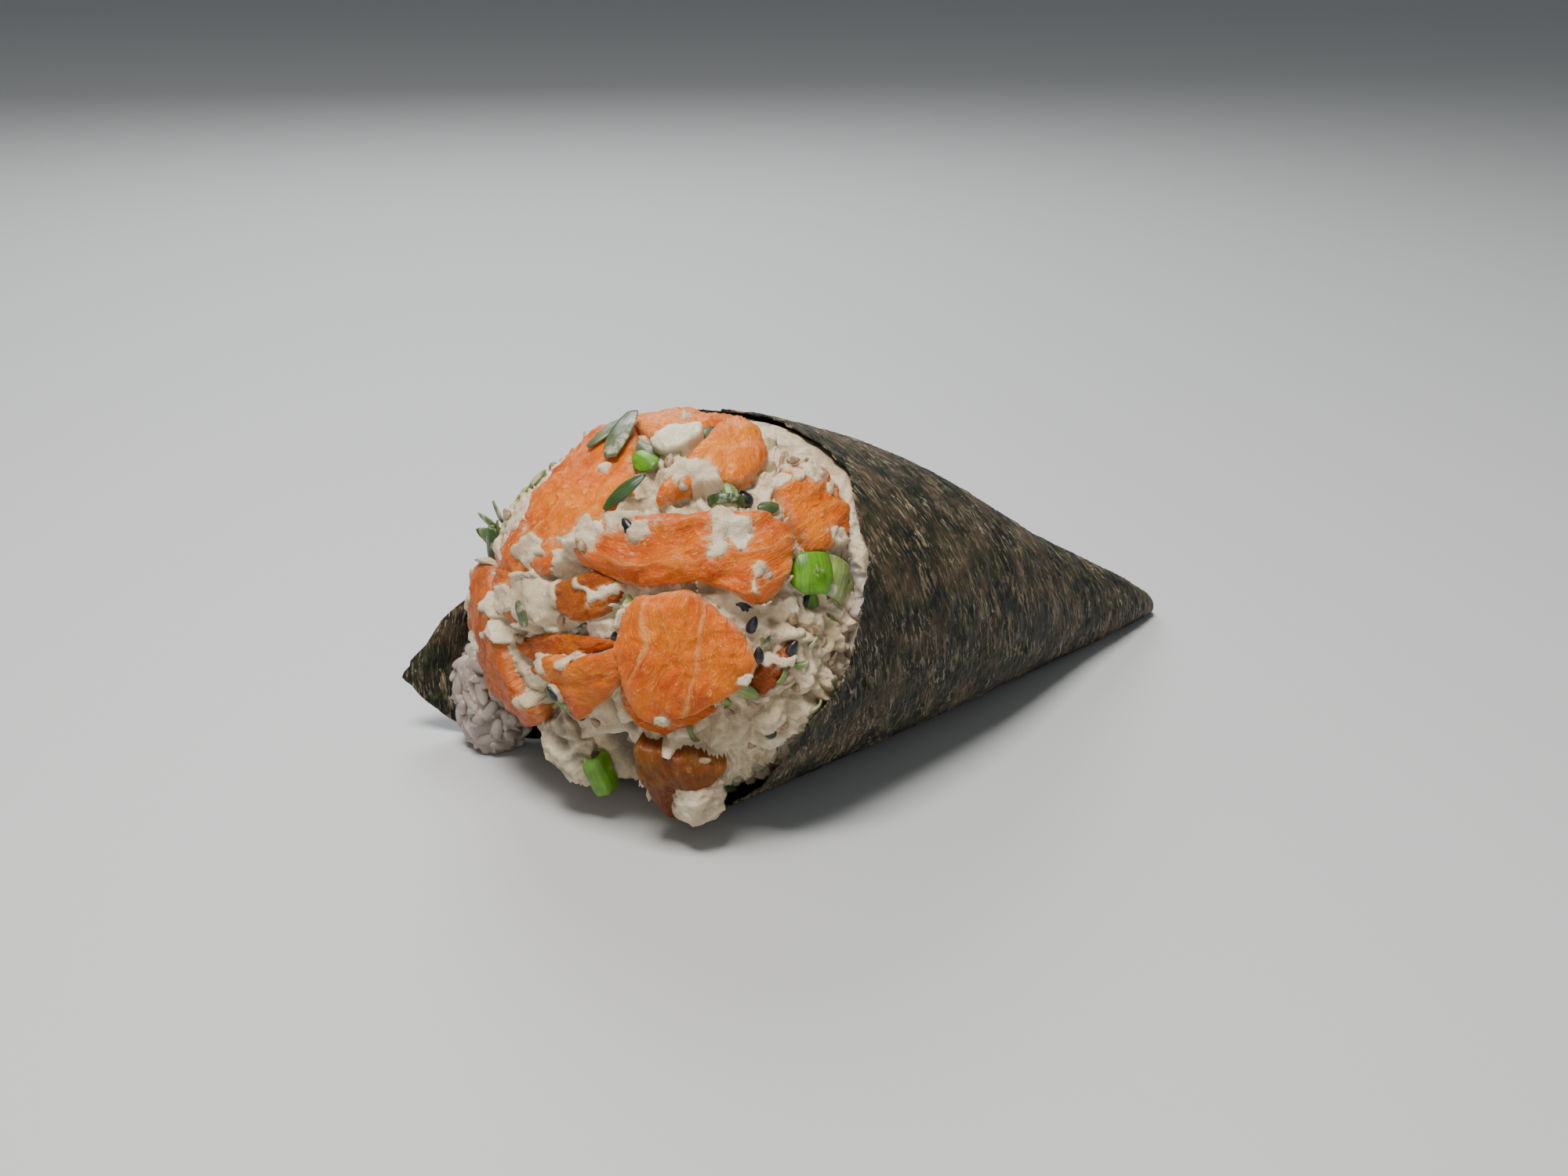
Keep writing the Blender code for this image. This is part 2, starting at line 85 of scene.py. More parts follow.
def mixed_bits(cell, seed):
    """Three numbers from -1 to 1 for each whole-number cell, by multiplying and shifting its bits."""
    bits = cell[..., 0] * 73856093 ^ cell[..., 1] * 19349663 ^ cell[..., 2] * 83492791 ^ seed * 50331653
    bits = ((bits ^ (bits >> 13)) * 1274126177) & 0xFFFFFFFF
    bits = ((bits ^ (bits >> 16)) * 668265263) & 0xFFFFFFFF
    return coordinates(*((bits >> shift & 1023) / 511.5 - 1 for shift in (2, 12, 22)))


def grain(points, pitch, seed):
    """Smooth random field in space, about -1 to 1: a random slope at each lattice corner, blended between."""
    where = points / pitch + 37.3 * seed
    cell = np.floor(where).astype(np.int64)
    part = where - cell
    ease = part**3 * (part * (part * 6 - 15) + 10)
    total = np.zeros(points.shape[:-1])
    for corner in np.ndindex(2, 2, 2):
        step = np.array(corner)
        weight = np.prod(np.where(step, ease, 1 - ease), -1)
        total += weight * ((part - step) * mixed_bits(cell + step, seed)).sum(-1)
    return 1.5 * total


def crumple(points, pitch, octaves, seed, rough=0.5):
    """Sum of grain fields, each at half the pitch and rough times the strength of the one before."""
    return sum(rough**k * grain(points, pitch / 2**k, seed + k) for k in range(octaves))


def ridges(points, pitch, octaves, seed, rough=0.5):
    """Sharp-topped folds from -1 to 1, highest where the grain field crosses zero, summed over octaves."""
    return sum(rough**k * (2 * (1 - np.clip(np.abs(grain(points, pitch / 2**k, seed + k)), 0, 1))**2 - 1)
               for k in range(octaves))


def smooth_step(x, low, high):
    """Rises from 0 at low to 1 at high, level at both ends."""
    t = np.clip((x - low) / (high - low), 0, 1)
    return t * t * (3 - 2 * t)


def radius(s):
    """Cone radius at the distance s from the tip, rounded off at the very tip."""
    blunt = np.clip(1 - s / TIP_ROUNDING, 0, 1)
    return smooth_table(s, PROFILE) * np.sqrt(np.clip(1 - blunt * blunt, 0, 1))


def rim_distance(angle):
    """Distance from the tip to the sheet's edge at an angle about the cone."""
    turned = (angle - RIM[0][0]) % 360 + RIM[0][0]
    return TIP_X - np.interp(turned, [a for a, _ in RIM], [x for _, x in RIM])


def flare(angle, s):
    """Radius factor of the loose corner: its table by angle, eased in along the cone."""
    most = np.interp((angle - 180) % 360 + 180, [a for a, _ in FLARE], [f for _, f in FLARE])
    return 1 + (most - 1) * smooth_step(s, FLARE_START, FLARE_FULL)


def cone_point(s, angle, offset, floor):
    """Point of the cone's wall: a circle that rises with its radius, waved, flared and pressed flat."""
    bend = np.radians(angle)
    wave = np.sin(3 * bend + s / 17) + 0.7 * np.sin(5 * bend - s / 11 + 2)
    wave *= WAVE_DEPTH * np.clip(s / WAVE_FULL, 0, 1)
    reach = (radius(s) + offset + wave) * flare(angle, s)
    height = np.maximum(CENTRE_HEIGHT * radius(s) + reach * np.sin(bend), floor)
    return coordinates(TIP_X - s, reach * np.cos(bend), height)


def put_mesh(name, points, faces, finish, attributes=(), uv=None):
    """Makes one smooth object of millimetre points, with named numbers and a flat map on its points."""
    mesh = bpy.data.meshes.new(name)
    mesh.from_pydata((points.reshape(-1, 3) * MM).tolist(), [], faces)
    mesh.polygons.foreach_set("use_smooth", np.ones(len(mesh.polygons), bool))
    for label, values in attributes:
        layer = mesh.attributes.new(label, "FLOAT", "POINT")
        layer.data.foreach_set("value", values.ravel().astype(np.float32))
    if uv is not None:
        corners = np.zeros(len(mesh.loops), np.int32)
        mesh.loops.foreach_get("vertex_index", corners)
        flat = uv.reshape(-1, 2)[corners].ravel().astype(np.float32)
        mesh.uv_layers.new(name="grain").data.foreach_set("uv", flat)
    mesh.materials.append(finish)
    piece = bpy.data.objects.new(name, mesh)
    bpy.context.scene.collection.objects.link(piece)
    return piece


def belongs(piece, slot, *nodes):
    """Fixes a piece to the body and hides the solids that it stands for. The slot is not used."""
    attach(piece, "root")
    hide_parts(*nodes)


def ring_faces(rows, columns, first=0, around=True):
    """Quads between neighbouring rings of a grid, joined round when around is true."""
    spans = columns if around else columns - 1
    row, column = np.meshgrid(np.arange(rows - 1), np.arange(spans), indexing="ij")
    after = (column + 1) % columns
    quads = coordinates(row * columns + column, (row + 1) * columns + column,
                        (row + 1) * columns + after, row * columns + after)
    return (quads.reshape(-1, 4) + first).tolist()


def cap_faces(rows, columns):
    """Triangles that join the first and the last ring to the two points stored after the grid."""
    column = np.arange(columns)
    after = (column + 1) % columns
    last, end = (rows - 1) * columns, rows * columns
    start, finish = coordinates(end, column, after), coordinates(end + 1, last + after, last + column)
    return start.tolist() + finish.tolist()


def new_finish(name, roughness, **sockets):
    """A named material, its shader with constants on its own sockets, and its texture coordinates."""
    finish = bpy.data.materials.new(name)
    finish.use_nodes = True
    shader = finish.node_tree.nodes["Principled BSDF"]
    shader.inputs["Roughness"].default_value = roughness
    for socket, value in sockets.items():
        shader.inputs[socket.replace("_", " ")].default_value = value
    return finish, finish.node_tree, shader, finish.node_tree.nodes.new("ShaderNodeTexCoord").outputs


def noise(tree, place, scale, **settings):
    """A cloudy value from 0 to 1 that reads the given coordinates."""
    node = tree.nodes.new("ShaderNodeTexNoise")
    tree.links.new(place, node.inputs["Vector"])
    for socket, value in dict(settings, Scale=scale).items():
        node.inputs[socket].default_value = value
    return node.outputs["Fac"]


def stretched(tree, place, scale):
    """Coordinates scaled along each axis."""
    node = tree.nodes.new("ShaderNodeMapping")
    tree.links.new(place, node.inputs["Vector"])
    node.inputs["Scale"].default_value = scale
    return node.outputs["Vector"]


def band(tree, value, *stops):
    """Colours or greys along a value, as pairs of place and colour."""
    node = tree.nodes.new("ShaderNodeValToRGB")
    tree.links.new(value, node.inputs["Fac"])
    ramp = node.color_ramp
    while len(ramp.elements) < len(stops):
        ramp.elements.new(0.5)
    for element, (place, colour) in zip(ramp.elements, stops):
        element.position = place
        element.color = (*colour, 1.0) if isinstance(colour, tuple) else (colour, colour, colour, 1.0)
    return node.outputs["Color"]


def feed(tree, target, value):
    """Links a socket to the target, or sets the target to a constant number or colour."""
    if isinstance(value, bpy.types.NodeSocket):
        tree.links.new(value, target)
    else:
        target.default_value = (*value, 1.0) if isinstance(value, tuple) else value


def blended(tree, factor, first, second, mode="MIX"):
    """Two colours mixed by a factor, each a socket or a constant."""
    node = tree.nodes.new("ShaderNodeMix")
    node.data_type = "RGBA"
    node.blend_type = mode
    for identifier, value in (("Factor_Float", factor), ("A_Color", first), ("B_Color", second)):
        feed(tree, next(socket for socket in node.inputs if socket.identifier == identifier), value)
    return next(socket for socket in node.outputs if socket.identifier == "Result_Color")


def computed(tree, operation, first, second):
    """Two values put together by an operation, each a socket or a constant."""
    node = tree.nodes.new("ShaderNodeMath")
    node.operation = operation
    feed(tree, node.inputs[0], first)
    feed(tree, node.inputs[1], second)
    return node.outputs["Value"]


def product(tree, first, second):
    """Two values multiplied."""
    return computed(tree, "MULTIPLY", first, second)


def raised(tree, shader, height, distance, strength=1.0, under=None):
    """A bump of the given depth in metres on the shader, over an earlier one if there is one."""
    node = tree.nodes.new("ShaderNodeBump")
    tree.links.new(height, node.inputs["Height"])
    node.inputs["Distance"].default_value = distance
    node.inputs["Strength"].default_value = strength
    if under is not None:
        tree.links.new(under, node.inputs["Normal"])
    tree.links.new(node.outputs["Normal"], shader.inputs["Normal"])
    return node.outputs["Normal"]


def nori_finish():
    """Green black sheet with brown and olive patches, short pale fibres that run around the roll, and bright
    flecks that are partly pale fibre and partly painted glints.
    """
    finish, tree, shader, place = new_finish("toasted_nori", 0.5, Specular_IOR_Level=0.26)
    cloud = noise(tree, place["Object"], 110, Detail=6, Roughness=0.6)
    sheet = band(tree, cloud, (0.38, (0.003, 0.006, 0.004)), (0.49, (0.013, 0.016, 0.009)),
                 (0.60, (0.066, 0.044, 0.024)), (0.70, (0.105, 0.072, 0.040)))
    patch = noise(tree, place["Object"], 240, Detail=5, Roughness=0.7)
    olive = band(tree, patch, (0.50, 0.0), (0.66, 0.75))
    sheet = blended(tree, olive, sheet, (0.040, 0.050, 0.018))
    around = stretched(tree, place["UV"], (0.26, 1.0, 1.0))
    strands = noise(tree, around, 0.9, Detail=6, Roughness=0.6, Distortion=1.3)
    gate = noise(tree, place["Object"], 170, Detail=2)
    open_gate = band(tree, gate, (0.38, 0.15), (0.62, 1.0))
    lines = band(tree, strands, (0.52, 0.0), (0.57, 0.6), (0.64, 1.0))
    sheet = blended(tree, product(tree, lines, open_gate), sheet, (0.26, 0.19, 0.11))
    # Bright golden flecks: partly the sheet's own pale fibre bits and partly painted glints of light on them.
    short = stretched(tree, place["UV"], (0.34, 1.0, 1.0))
    flecks = noise(tree, short, 1.7, Detail=4, Roughness=0.55, Distortion=1.1)
    dots = band(tree, flecks, (0.585, 0.0), (0.65, 0.95))
    sheet = blended(tree, product(tree, dots, open_gate), sheet, (0.50, 0.40, 0.26))
    tree.links.new(sheet, shader.inputs["Base Color"])
    gloss = band(tree, strands, (0.35, 0.66), (0.65, 0.40))
    tree.links.new(gloss, shader.inputs["Roughness"])
    under = raised(tree, shader, cloud, 0.0020, 0.5)
    under = raised(tree, shader, strands, 0.0016, 0.85, under)
    raised(tree, shader, flecks, 0.0005, 0.5, under)
    return finish


def nori_sheet():
    """The rolled sheet as one closed skin: rings from the tip out to the torn rim, and back up the inside."""
    turns = np.append(np.linspace(0, 360 - SEAM_WIDTH, NORI_AROUND), 360 - SEAM_WIDTH / 2)
    near_tip = np.linspace(TIP_START, TIP_SHARE, NORI_TIP_ROWS, endpoint=False)
    share = np.append(near_tip, np.linspace(TIP_SHARE, 1, NORI_OUTSIDE - NORI_TIP_ROWS))[:, None]
    angle = SEAM_AT_TIP + (SEAM_AT_RIM - SEAM_AT_TIP) * share + turns
    bend = np.radians(angle)
    edge = coordinates(np.cos(bend) * RIM_CIRCLE, np.sin(bend) * RIM_CIRCLE, 0.0)
    tear = RIM_TEAR * np.clip(0.4 + crumple(edge, 6.0, 4, 5, 0.7), 0, 1.3)
    s = share * (rim_distance(angle) - tear * share**8)
    layer = SEAM_STEP * (1 - turns / turns[-1]) * np.clip(s / SEAM_FADE, 0, 1)
    smooth = cone_point(s, angle, layer - SKIN_IN, 0.0)
    relief = SWELL_DEPTH * crumple(smooth, 7.0, 3, 11)
    relief += FIBRE_DEPTH * ridges(smooth * (1, 0.75, 0.75), 2.8, 2, 15, 0.6)
    relief = np.clip(relief, -2 * SKIN_IN, SKIN_IN) * np.clip(s / RELIEF_FADE, 0, 1)
    outer = cone_point(s, angle, layer - SKIN_IN + relief, 0.0)
    back = np.linspace(NORI_OUTSIDE - 1, HOLLOW_ROW, NORI_INSIDE).astype(int)
    inner = cone_point(s, angle, layer - SKIN_IN + relief - SHEET, SHEET)[back]
    ends = np.array([[TIP_X, 0, 0.05], [TIP_X - HOLLOW_START, 0, CENTRE_HEIGHT * HOLLOW_START / 2]])
    points = np.concatenate([np.concatenate([outer, inner]).reshape(-1, 3), ends])
    flat = coordinates(bend * radius(s), s + 0.2 * radius(s) * np.radians(turns))
    flat = np.concatenate([np.concatenate([flat, flat[back]]).reshape(-1, 2), [[0, 0], [0, 9]]])
    rows, columns = NORI_OUTSIDE + NORI_INSIDE, NORI_AROUND + 1
    faces = ring_faces(rows, columns) + cap_faces(rows, columns)
    return put_mesh("nori_sheet", points, faces, nori_finish(), uv=flat)


belongs(nori_sheet(), "nori", "nori_wrap")

# Salmon pieces
# Raw salmon cut by hand into slabs of 6 to 9 mm, laid over each other on the swell of the filling. Each is
# wet, follows the swell, has pale sinew lines along its grain and torn edges, and dressing smeared on it.
MOUTH = np.array((-42.0, -2.0, 30.5))
MOUTH_TURN, MOUTH_LEAN = math.radians(20), math.radians(18)
DOME_DEPTH, DOME_FAR, DOME_NEAR, DOME_TOP, DOME_BOTTOM = 26.0, 40.0, 32.0, 34.0, 31.0
FACE_SCALE = 34.0
EDGE_ROUND, SUNK = 5.5, 0.4
SLAB_AROUND, SLAB_ROWS, SECTION_STEPS = 210, 58, 801
SMEAR_SPREAD, SMEAR_PULL_A, SMEAR_PULL_B = 1.2, 3.2, 2.4
# Columns: outline on the dome's face, thickness, height of its middle, direction of its grain, distance
# between sinews, their strength, depth of the folds along the grain, and tone from 0 brown to 1 orange, which
# is partly the flesh's own colour and partly painted shade that darkens the lower pieces.
SALMON = {
    "salmon_front": (((-9, 5.6), (-14, 7.3), (-20, 5.2), (-25.5, 1.4), (-28.5, -3), (-25, -8.5),
                      (-18.5, -13.5), (-13, -16), (-10, -17), (-7.5, -14.5), (-5.5, -10), (-3.5, -5),
                      (-3.5, 0), (-5.5, 4)),
                     9.0, -2.0, 97, 9.4, 0.8, 0.0, 0.5),
    "salmon_band": (((8, 9), (2, 16), (-11, 20), (-25, 24), (-31, 19), (-28, 8), (-17, 9), (-3, 6)),
                    8.0, -2.0, 160, 6.2, 0.5, 1.9, 0.42),
    "salmon_wedge": (((13, -13), (10, -10), (2, -7), (-5, -4), (-5, -9), (0, -16), (4, -20), (7, -15)),
                     8.0, -2.5, 155, 4.0, 0.2, 0.3, 0.35),
    "salmon_tuck": (((9, 4), (10, 1), (5, -2), (0, 1), (-2, 5), (3, 7)), 7.0, -3.0, 150, 3.5, 0.2, 0.2, 0.12),
    "salmon_left_long": (((18, 40), (21, 22), (27, 6), (22, 2), (10, 6), (2, 18), (4, 27), (10, 37)),
                         8.0, -3.0, 112, 4.5, 0.35, 0.4, 0.55),
    "salmon_upper": (((-7, 52), (-16, 46), (-20, 37), (-17, 29), (-10, 26), (-3, 21), (-5, 33), (-5, 44)),
                     8.0, -3.0, 60, 5.5, 0.15, 0.4, 0.75),
    "salmon_crown": (((19, 43), (14, 53), (2, 59), (-8, 57), (-4, 47), (0, 38), (8, 37)),
                     7.0, -3.2, 10, 5.0, 0.3, 0.3, 0.7),
    "salmon_right": (((-29, 48), (-36, 50), (-43, 42), (-45, 30), (-38, 21), (-33, 22), (-26, 29), (-23, 34)),
                     8.0, -3.4, 110, 4.5, 0.4, 0.3, 0.6),
    "salmon_left_slab": (((38, 1), (28, 3), (22, -8), (18, -17), (13, -24), (22, -31), (31, -23), (37, -10)),
                         9.0, -3.0, 112, 5.5, 0.25, 0.5, 0.25),
    "salmon_left_top": (((26, 3), (16, 4), (10, 2), (11, -3), (18, -6), (23, -4)),
                        7.0, -3.4, 10, 4.0, 0.3, 0.3, 0.3),
    "salmon_shelf": (((20, -11), (11, -6), (2, -4), (-3, -4), (4, -8), (11, -13)),
                     6.0, -4.0, 155, 3.5, 0.2, 0.2, 0.2),
    "salmon_under": (((-3, -12), (-9, -13), (-19, -12), (-22, -14), (-13, -20), (-5, -18)),
                     7.0, -4.0, 20, 4.0, 0.2, 0.2, 0.35),
    "salmon_low": (((-7, -22.5), (-9, -21.8), (-15, -22.5), (-23.5, -25), (-23, -27), (-18, -34), (-13, -43),
                    (-11, -50), (-9, -43), (-7.5, -32)),
                   8.0, -1.0, 75, 4.5, 0.2, 0.4, 0.0),
    "salmon_sliver": (((-28, -7), (-33, 0), (-37, 2), (-36, -4), (-31, -10)),
                      6.0, -4.2, 45, 3.0, 0.2, 0.2, 0.1),
    "salmon_far_high": (((39, 27), (49, 25), (56, 14), (48, 8), (40, 13)), 7.0, -4.6, 80, 4.5, 0.4, 0.3, 0.5),
    "salmon_far_low": (((44, 2), (55, 1), (56, -13), (47, -18), (43, -8)),
                       7.0, -4.4, 60, 4.5, 0.4, 0.3, 0.35),
    "salmon_far_top": (((27, 41), (37, 33), (46, 35), (40, 47), (28, 52)), 7.0, -4.4, 40, 4.5, 0.4, 0.3, 0.6),
}
# Place on the dome's face and size of each smear of dressing on the salmon.
SMEARS = (
    (8, 9.5, 3.2), (5, 13, 3.2), (1, 15.5, 2.8), (-5, 13.5, 2.4), (-17, 19, 3.2), (-20, 17, 2.0),
    (-25.5, 12, 1.3), (22, 13, 3.6), (26, 9, 3.0), (16, 8, 2.0), (9, 24, 1.3), (-9, 27, 3.0),
    (-4, 26, 2.0), (5, 46, 1.6), (-31, 40, 3.2), (-27, 37, 2.6), (-37, 38, 2.2), (-42, 26, 2.6),
    (-24, 33, 2.0), (13, 0, 4.0), (18, -1, 4.0), (22, -3, 2.6), (24, -9, 1.8), (31, -13, 2.2),
    (34, -6, 2.0), (15, -21, 1.2), (-12.5, -15.3, 2.0), (-27, -5.8, 1.5), (-16, -40, 2.6),
    (-20, -31, 1.6), (-12, -48, 2.6), (-33.5, -2, 1.8), (6, -8.5, 1.3), (11, -11, 1.4), (-18, 13.5, 1.6),
    (8, -15, 1.6), (2, 3.5, 1.4), (48, 12, 3.6), (51, -6, 3.6), (36, 41, 3.6), (45, 20, 3.0),
    (47, -14, 3.0),
)


def mouth_axes():
    """Rows: out of the mouth, along it to the far side, and up along it."""
    out = np.array((-math.cos(MOUTH_TURN) * math.cos(MOUTH_LEAN),
                    -math.sin(MOUTH_TURN) * math.cos(MOUTH_LEAN), math.sin(MOUTH_LEAN)))
    side = np.array((-math.sin(MOUTH_TURN), math.cos(MOUTH_TURN), 0.0))
    return np.stack([out, side, np.cross(side, out)])


AXES = mouth_axes()


def unit_length(rows):
    """Each row divided by its length."""
    return rows / np.linalg.norm(rows, axis=-1, keepdims=True)


def on_face(a, b, height):
    """Point over the dome: turned from its middle by arc lengths a and b, scaled to the half axes, raised."""
    a, b, height = np.broadcast_arrays(np.asarray(a, float), np.asarray(b, float), np.asarray(height, float))
    reach = np.hypot(a, b) + 1e-9
    turn = reach / FACE_SCALE
    unit = coordinates(np.cos(turn), np.sin(turn) * a / reach, np.sin(turn) * b / reach)
    wide, tall = np.where(a > 0, DOME_FAR, DOME_NEAR), np.where(b > 0, DOME_TOP, DOME_BOTTOM)
    half = coordinates(DOME_DEPTH, wide, tall)
    return MOUTH + (unit * half + height[..., None] * unit_length(unit / half)) @ AXES


def smooth_outline(corners, count):
    """Closed curve through the corners, a cubic between each two with the mean slope there, turning left."""
    p = np.array(corners, float)
    ahead = np.roll(p, -1, 0)
    if (p[:, 0] * ahead[:, 1] - p[:, 1] * ahead[:, 0]).sum() < 0:
        p = p[::-1]
    t = np.arange(count) * len(p) / count
    i = t.astype(int)
    f = (t - i)[:, None]
    before, here, after, beyond = (p[(i + k) % len(p)] for k in (-1, 0, 1, 2))
    return 0.5 * (2 * here + (after - before) * f + (2 * before - 5 * here + 4 * after - beyond) * f**2
                  + (3 * here - before - 3 * after + beyond) * f**3)


def piece_seed(name):
    """A whole number of its own for each piece."""
    return sum(map(ord, name)) % 97


def smear_field(a, b):
    """How thickly dressing lies on the salmon: a bell over each smear, pulled out of shape and torn."""
    spot = coordinates(a, b, 0.0)
    pulled_a = a + SMEAR_PULL_A * crumple(spot, 7.0, 3, 55, 0.6)
    pulled_b = b + SMEAR_PULL_B * crumple(spot, 7.0, 3, 59, 0.6)
    bells = [np.exp(-((pulled_a - x)**2 + (pulled_b - y)**2) / (SMEAR_SPREAD * size)**2)
             for x, y, size in SMEARS]
    return 1.6 * np.max(bells, 0) + 0.55 * crumple(spot, 4.5, 4, 51, 0.64) - 0.70


def flesh_relief(a, b, grain_angle, spacing, folds, seed):
    """Low relief of cut flesh: folds along the grain, steps between its flakes, swellings and a torn nap."""
    turn = math.radians(grain_angle)
    across = -a * math.sin(turn) + b * math.cos(turn)
    along = a * math.cos(turn) + b * math.sin(turn)
    spot = coordinates(a, b, seed * 9.1)
    bent = across + 1.6 * crumple(spot, 9.0, 3, seed) + 0.012 * (along - along.mean())**2
    phase = bent / spacing
    strength = np.clip(0.6 + grain(spot, 7.0, seed + 5), 0.1, 1.3)
    flakes = 0.16 * ((phase * 1.7) % 1.0) * (folds > 0)
    swell = 0.75 * crumple(spot, 9.0, 3, seed + 7) + 0.14 * ridges(spot, 2.6, 2, seed + 3, 0.7)
    return strength * (folds * 0.5 * np.cos(2 * math.pi * phase) + flakes) + swell, along, phase


def slab_edge(name, corners):
    """Outline with a slightly torn edge: each point moved in or out from the middle by a random wave."""
    outline = smooth_outline(corners, SLAB_AROUND)
    middle = outline.mean(0)
    spot = np.concatenate([outline, np.full((len(outline), 1), piece_seed(name) * 5.3)], 1)
    away = np.linalg.norm(outline - middle, axis=1)
    tear = 1 + 0.5 * crumple(spot, 4.5, 3, piece_seed(name) + 20, 0.5) / away
    return middle, (outline - middle) * tear[:, None]


def slab_section(thickness, reach):
    """Half section from the bottom's middle to the top's: a squared oval, read at even steps along it."""
    t = np.linspace(-math.pi / 2, math.pi / 2, SECTION_STEPS)
    share = np.abs(np.cos(t))**(2 / EDGE_ROUND)
    rise = np.sign(t) * np.abs(np.sin(t))**(2 / EDGE_ROUND) * thickness / 2
    length = np.concatenate([[0], np.cumsum(np.hypot(np.diff(share * reach), np.diff(rise)))])
    even = np.linspace(0, length[-1], SLAB_ROWS + 2)[1:-1]
    return np.interp(even, length, share), np.interp(even, length, rise)


def slab_piece(name, values, finish):
    """One slab: its outline swept through the section over the dome, with flesh relief on its upper face."""
    corners, thickness, lift, grain_angle, spacing, sinew, folds, tone = values
    middle, spokes = slab_edge(name, corners)
    share, rise = slab_section(thickness, np.linalg.norm(spokes, axis=1).mean())
    flat = np.concatenate([(middle + share[:, None, None] * spokes).reshape(-1, 2), [middle, middle]])
    rise = np.append(np.repeat(rise, SLAB_AROUND), (-thickness / 2, thickness / 2))
    a, b = flat.T
    relief, along, phase = flesh_relief(a, b, grain_angle, spacing, folds, piece_seed(name))
    height = lift - SUNK + rise + relief * smooth_step(rise, -thickness / 3, thickness / 3)
    brink = smooth_step(np.append(np.repeat(share, SLAB_AROUND), (0, 0)), 0.90, 0.985) * (rise > 0)
    film = np.maximum(smooth_step(smear_field(a, b), -0.3, 0.25), min(0.6, 0.1 + tone) * brink)
    labels = (("phase", phase), ("film", film), ("sinew", np.full(a.shape, sinew)),
              ("tone", np.full(a.shape, tone)))
    faces = ring_faces(SLAB_ROWS, SLAB_AROUND) + cap_faces(SLAB_ROWS, SLAB_AROUND)
    return put_mesh(name + "_flesh", on_face(a, b, height), faces, finish, labels,
                    coordinates(along, phase * spacing))


def marked(tree, label):
    """The value of a mesh attribute."""
    node = tree.nodes.new("ShaderNodeAttribute")
    node.attribute_name = label
    return node.outputs["Fac"]


def salmon_finish():
    """Wet orange flesh that glows a little, with wandering sinew lines, pale flecks and a milky film, and
    painted shade that browns the lower pieces by their tone.
    """
    finish, tree, shader, place = new_finish(
        "raw_salmon", 0.34, Specular_IOR_Level=0.3, Subsurface_Weight=0.15, Subsurface_Scale=0.0014,
        Subsurface_Radius=(1.0, 0.25, 0.06), Coat_Weight=0.06, Coat_Roughness=0.2)
    cloud = noise(tree, place["Object"], 120, Detail=5, Roughness=0.55)
    flesh = band(tree, cloud, (0.34, (0.60, 0.080, 0.0)), (0.50, (0.80, 0.150, 0.0)),
                 (0.66, (0.86, 0.21, 0.0)))
    streak_place = stretched(tree, place["UV"], (0.22, 1.0, 1.0))
    streaks = noise(tree, streak_place, 0.75, Detail=6, Roughness=0.65, Distortion=0.7)
    pale = band(tree, streaks, (0.50, 0.0), (0.66, 0.4))
    flesh = blended(tree, pale, flesh, (0.86, 0.30, 0.02))
    wave = computed(tree, "PINGPONG", marked(tree, "phase"), 0.5)
    lines = band(tree, wave, (0.0, 1.0), (0.025, 0.7), (0.065, 0.0))
    lines = product(tree, lines, band(tree, streaks, (0.38, 0.25), (0.58, 1.0)))
    flesh = blended(tree, product(tree, lines, marked(tree, "sinew")), flesh, (0.86, 0.43, 0.14))
    fleck_place = stretched(tree, place["UV"], (0.45, 1.0, 1.0))
    flecks = noise(tree, fleck_place, 2.1, Detail=4, Roughness=0.6, Distortion=1.2)
    dots = band(tree, flecks, (0.59, 0.0), (0.66, 0.7))
    flesh = blended(tree, dots, flesh, (0.86, 0.49, 0.17))
    # Painted shade: a low tone darkens the flesh toward brown, partly for the shade on the lower pieces and
    # partly for their own redder colour.
    tone_and_shade_tint = band(tree, marked(tree, "tone"), (0.0, (0.25, 0.31, 0.14)), (0.25, (0.66, 0.60, 0.45)),
                (0.55, (1.0, 1.0, 1.0)), (1.0, (1.0, 1.22, 0.9)))
    flesh = blended(tree, 1.0, flesh, tone_and_shade_tint, "MULTIPLY")
    torn = noise(tree, place["Object"], 520, Detail=5, Roughness=0.7)
    veil = product(tree, marked(tree, "film"), band(tree, torn, (0.42, 0.1), (0.60, 1.0)))
    flesh = blended(tree, veil, flesh, (0.74, 0.46, 0.25))
    tree.links.new(flesh, shader.inputs["Base Color"])
    under = raised(tree, shader, streaks, 0.0016, 0.6)
    raised(tree, shader, flecks, 0.0010, 0.6, under)
    return finish


raw_salmon = salmon_finish()
for slab_name, slab_values in SALMON.items():
    belongs(slab_piece(slab_name, slab_values, raw_salmon), "salmon", slab_name)

# Cream dressing
# Cream cheese and mayonnaise stirred with chopped greens and sesame, spooned between and over the salmon. It
# stands in torn lumps, climbs the sides of the pieces, is smeared over their edges, and fills the cone.
CREAM_DEPTH = -2.6
DOME_REACH = FACE_SCALE * math.radians(94)
PLUG_END, PLUG_START = 112.0, 62.0
WALL_CLEAR, RIM_CLEAR, FLOOR_CLEAR = 1.0, 1.3, 0.3
FACE_GRID, WALL_ROWS, BACK_ROWS, BACK_START = 282, 16, 3, 25.0
FACE_SHARE, OVERHANG = 0.9, 1.1
SMEAR_SUNK, SMEAR_THICK, RICE_DROP = 0.8, 1.25, 3.5
RIM_FADE, RIM_BULGE, UNDER_SHEET, UNDER_SHEET_FULL = 8, 0.8, -2, 8
RICE_NORMAL = np.array((0.0, 0.607, -0.795))
RICE_POINT = np.array((0.0, 0.0, -2.0))
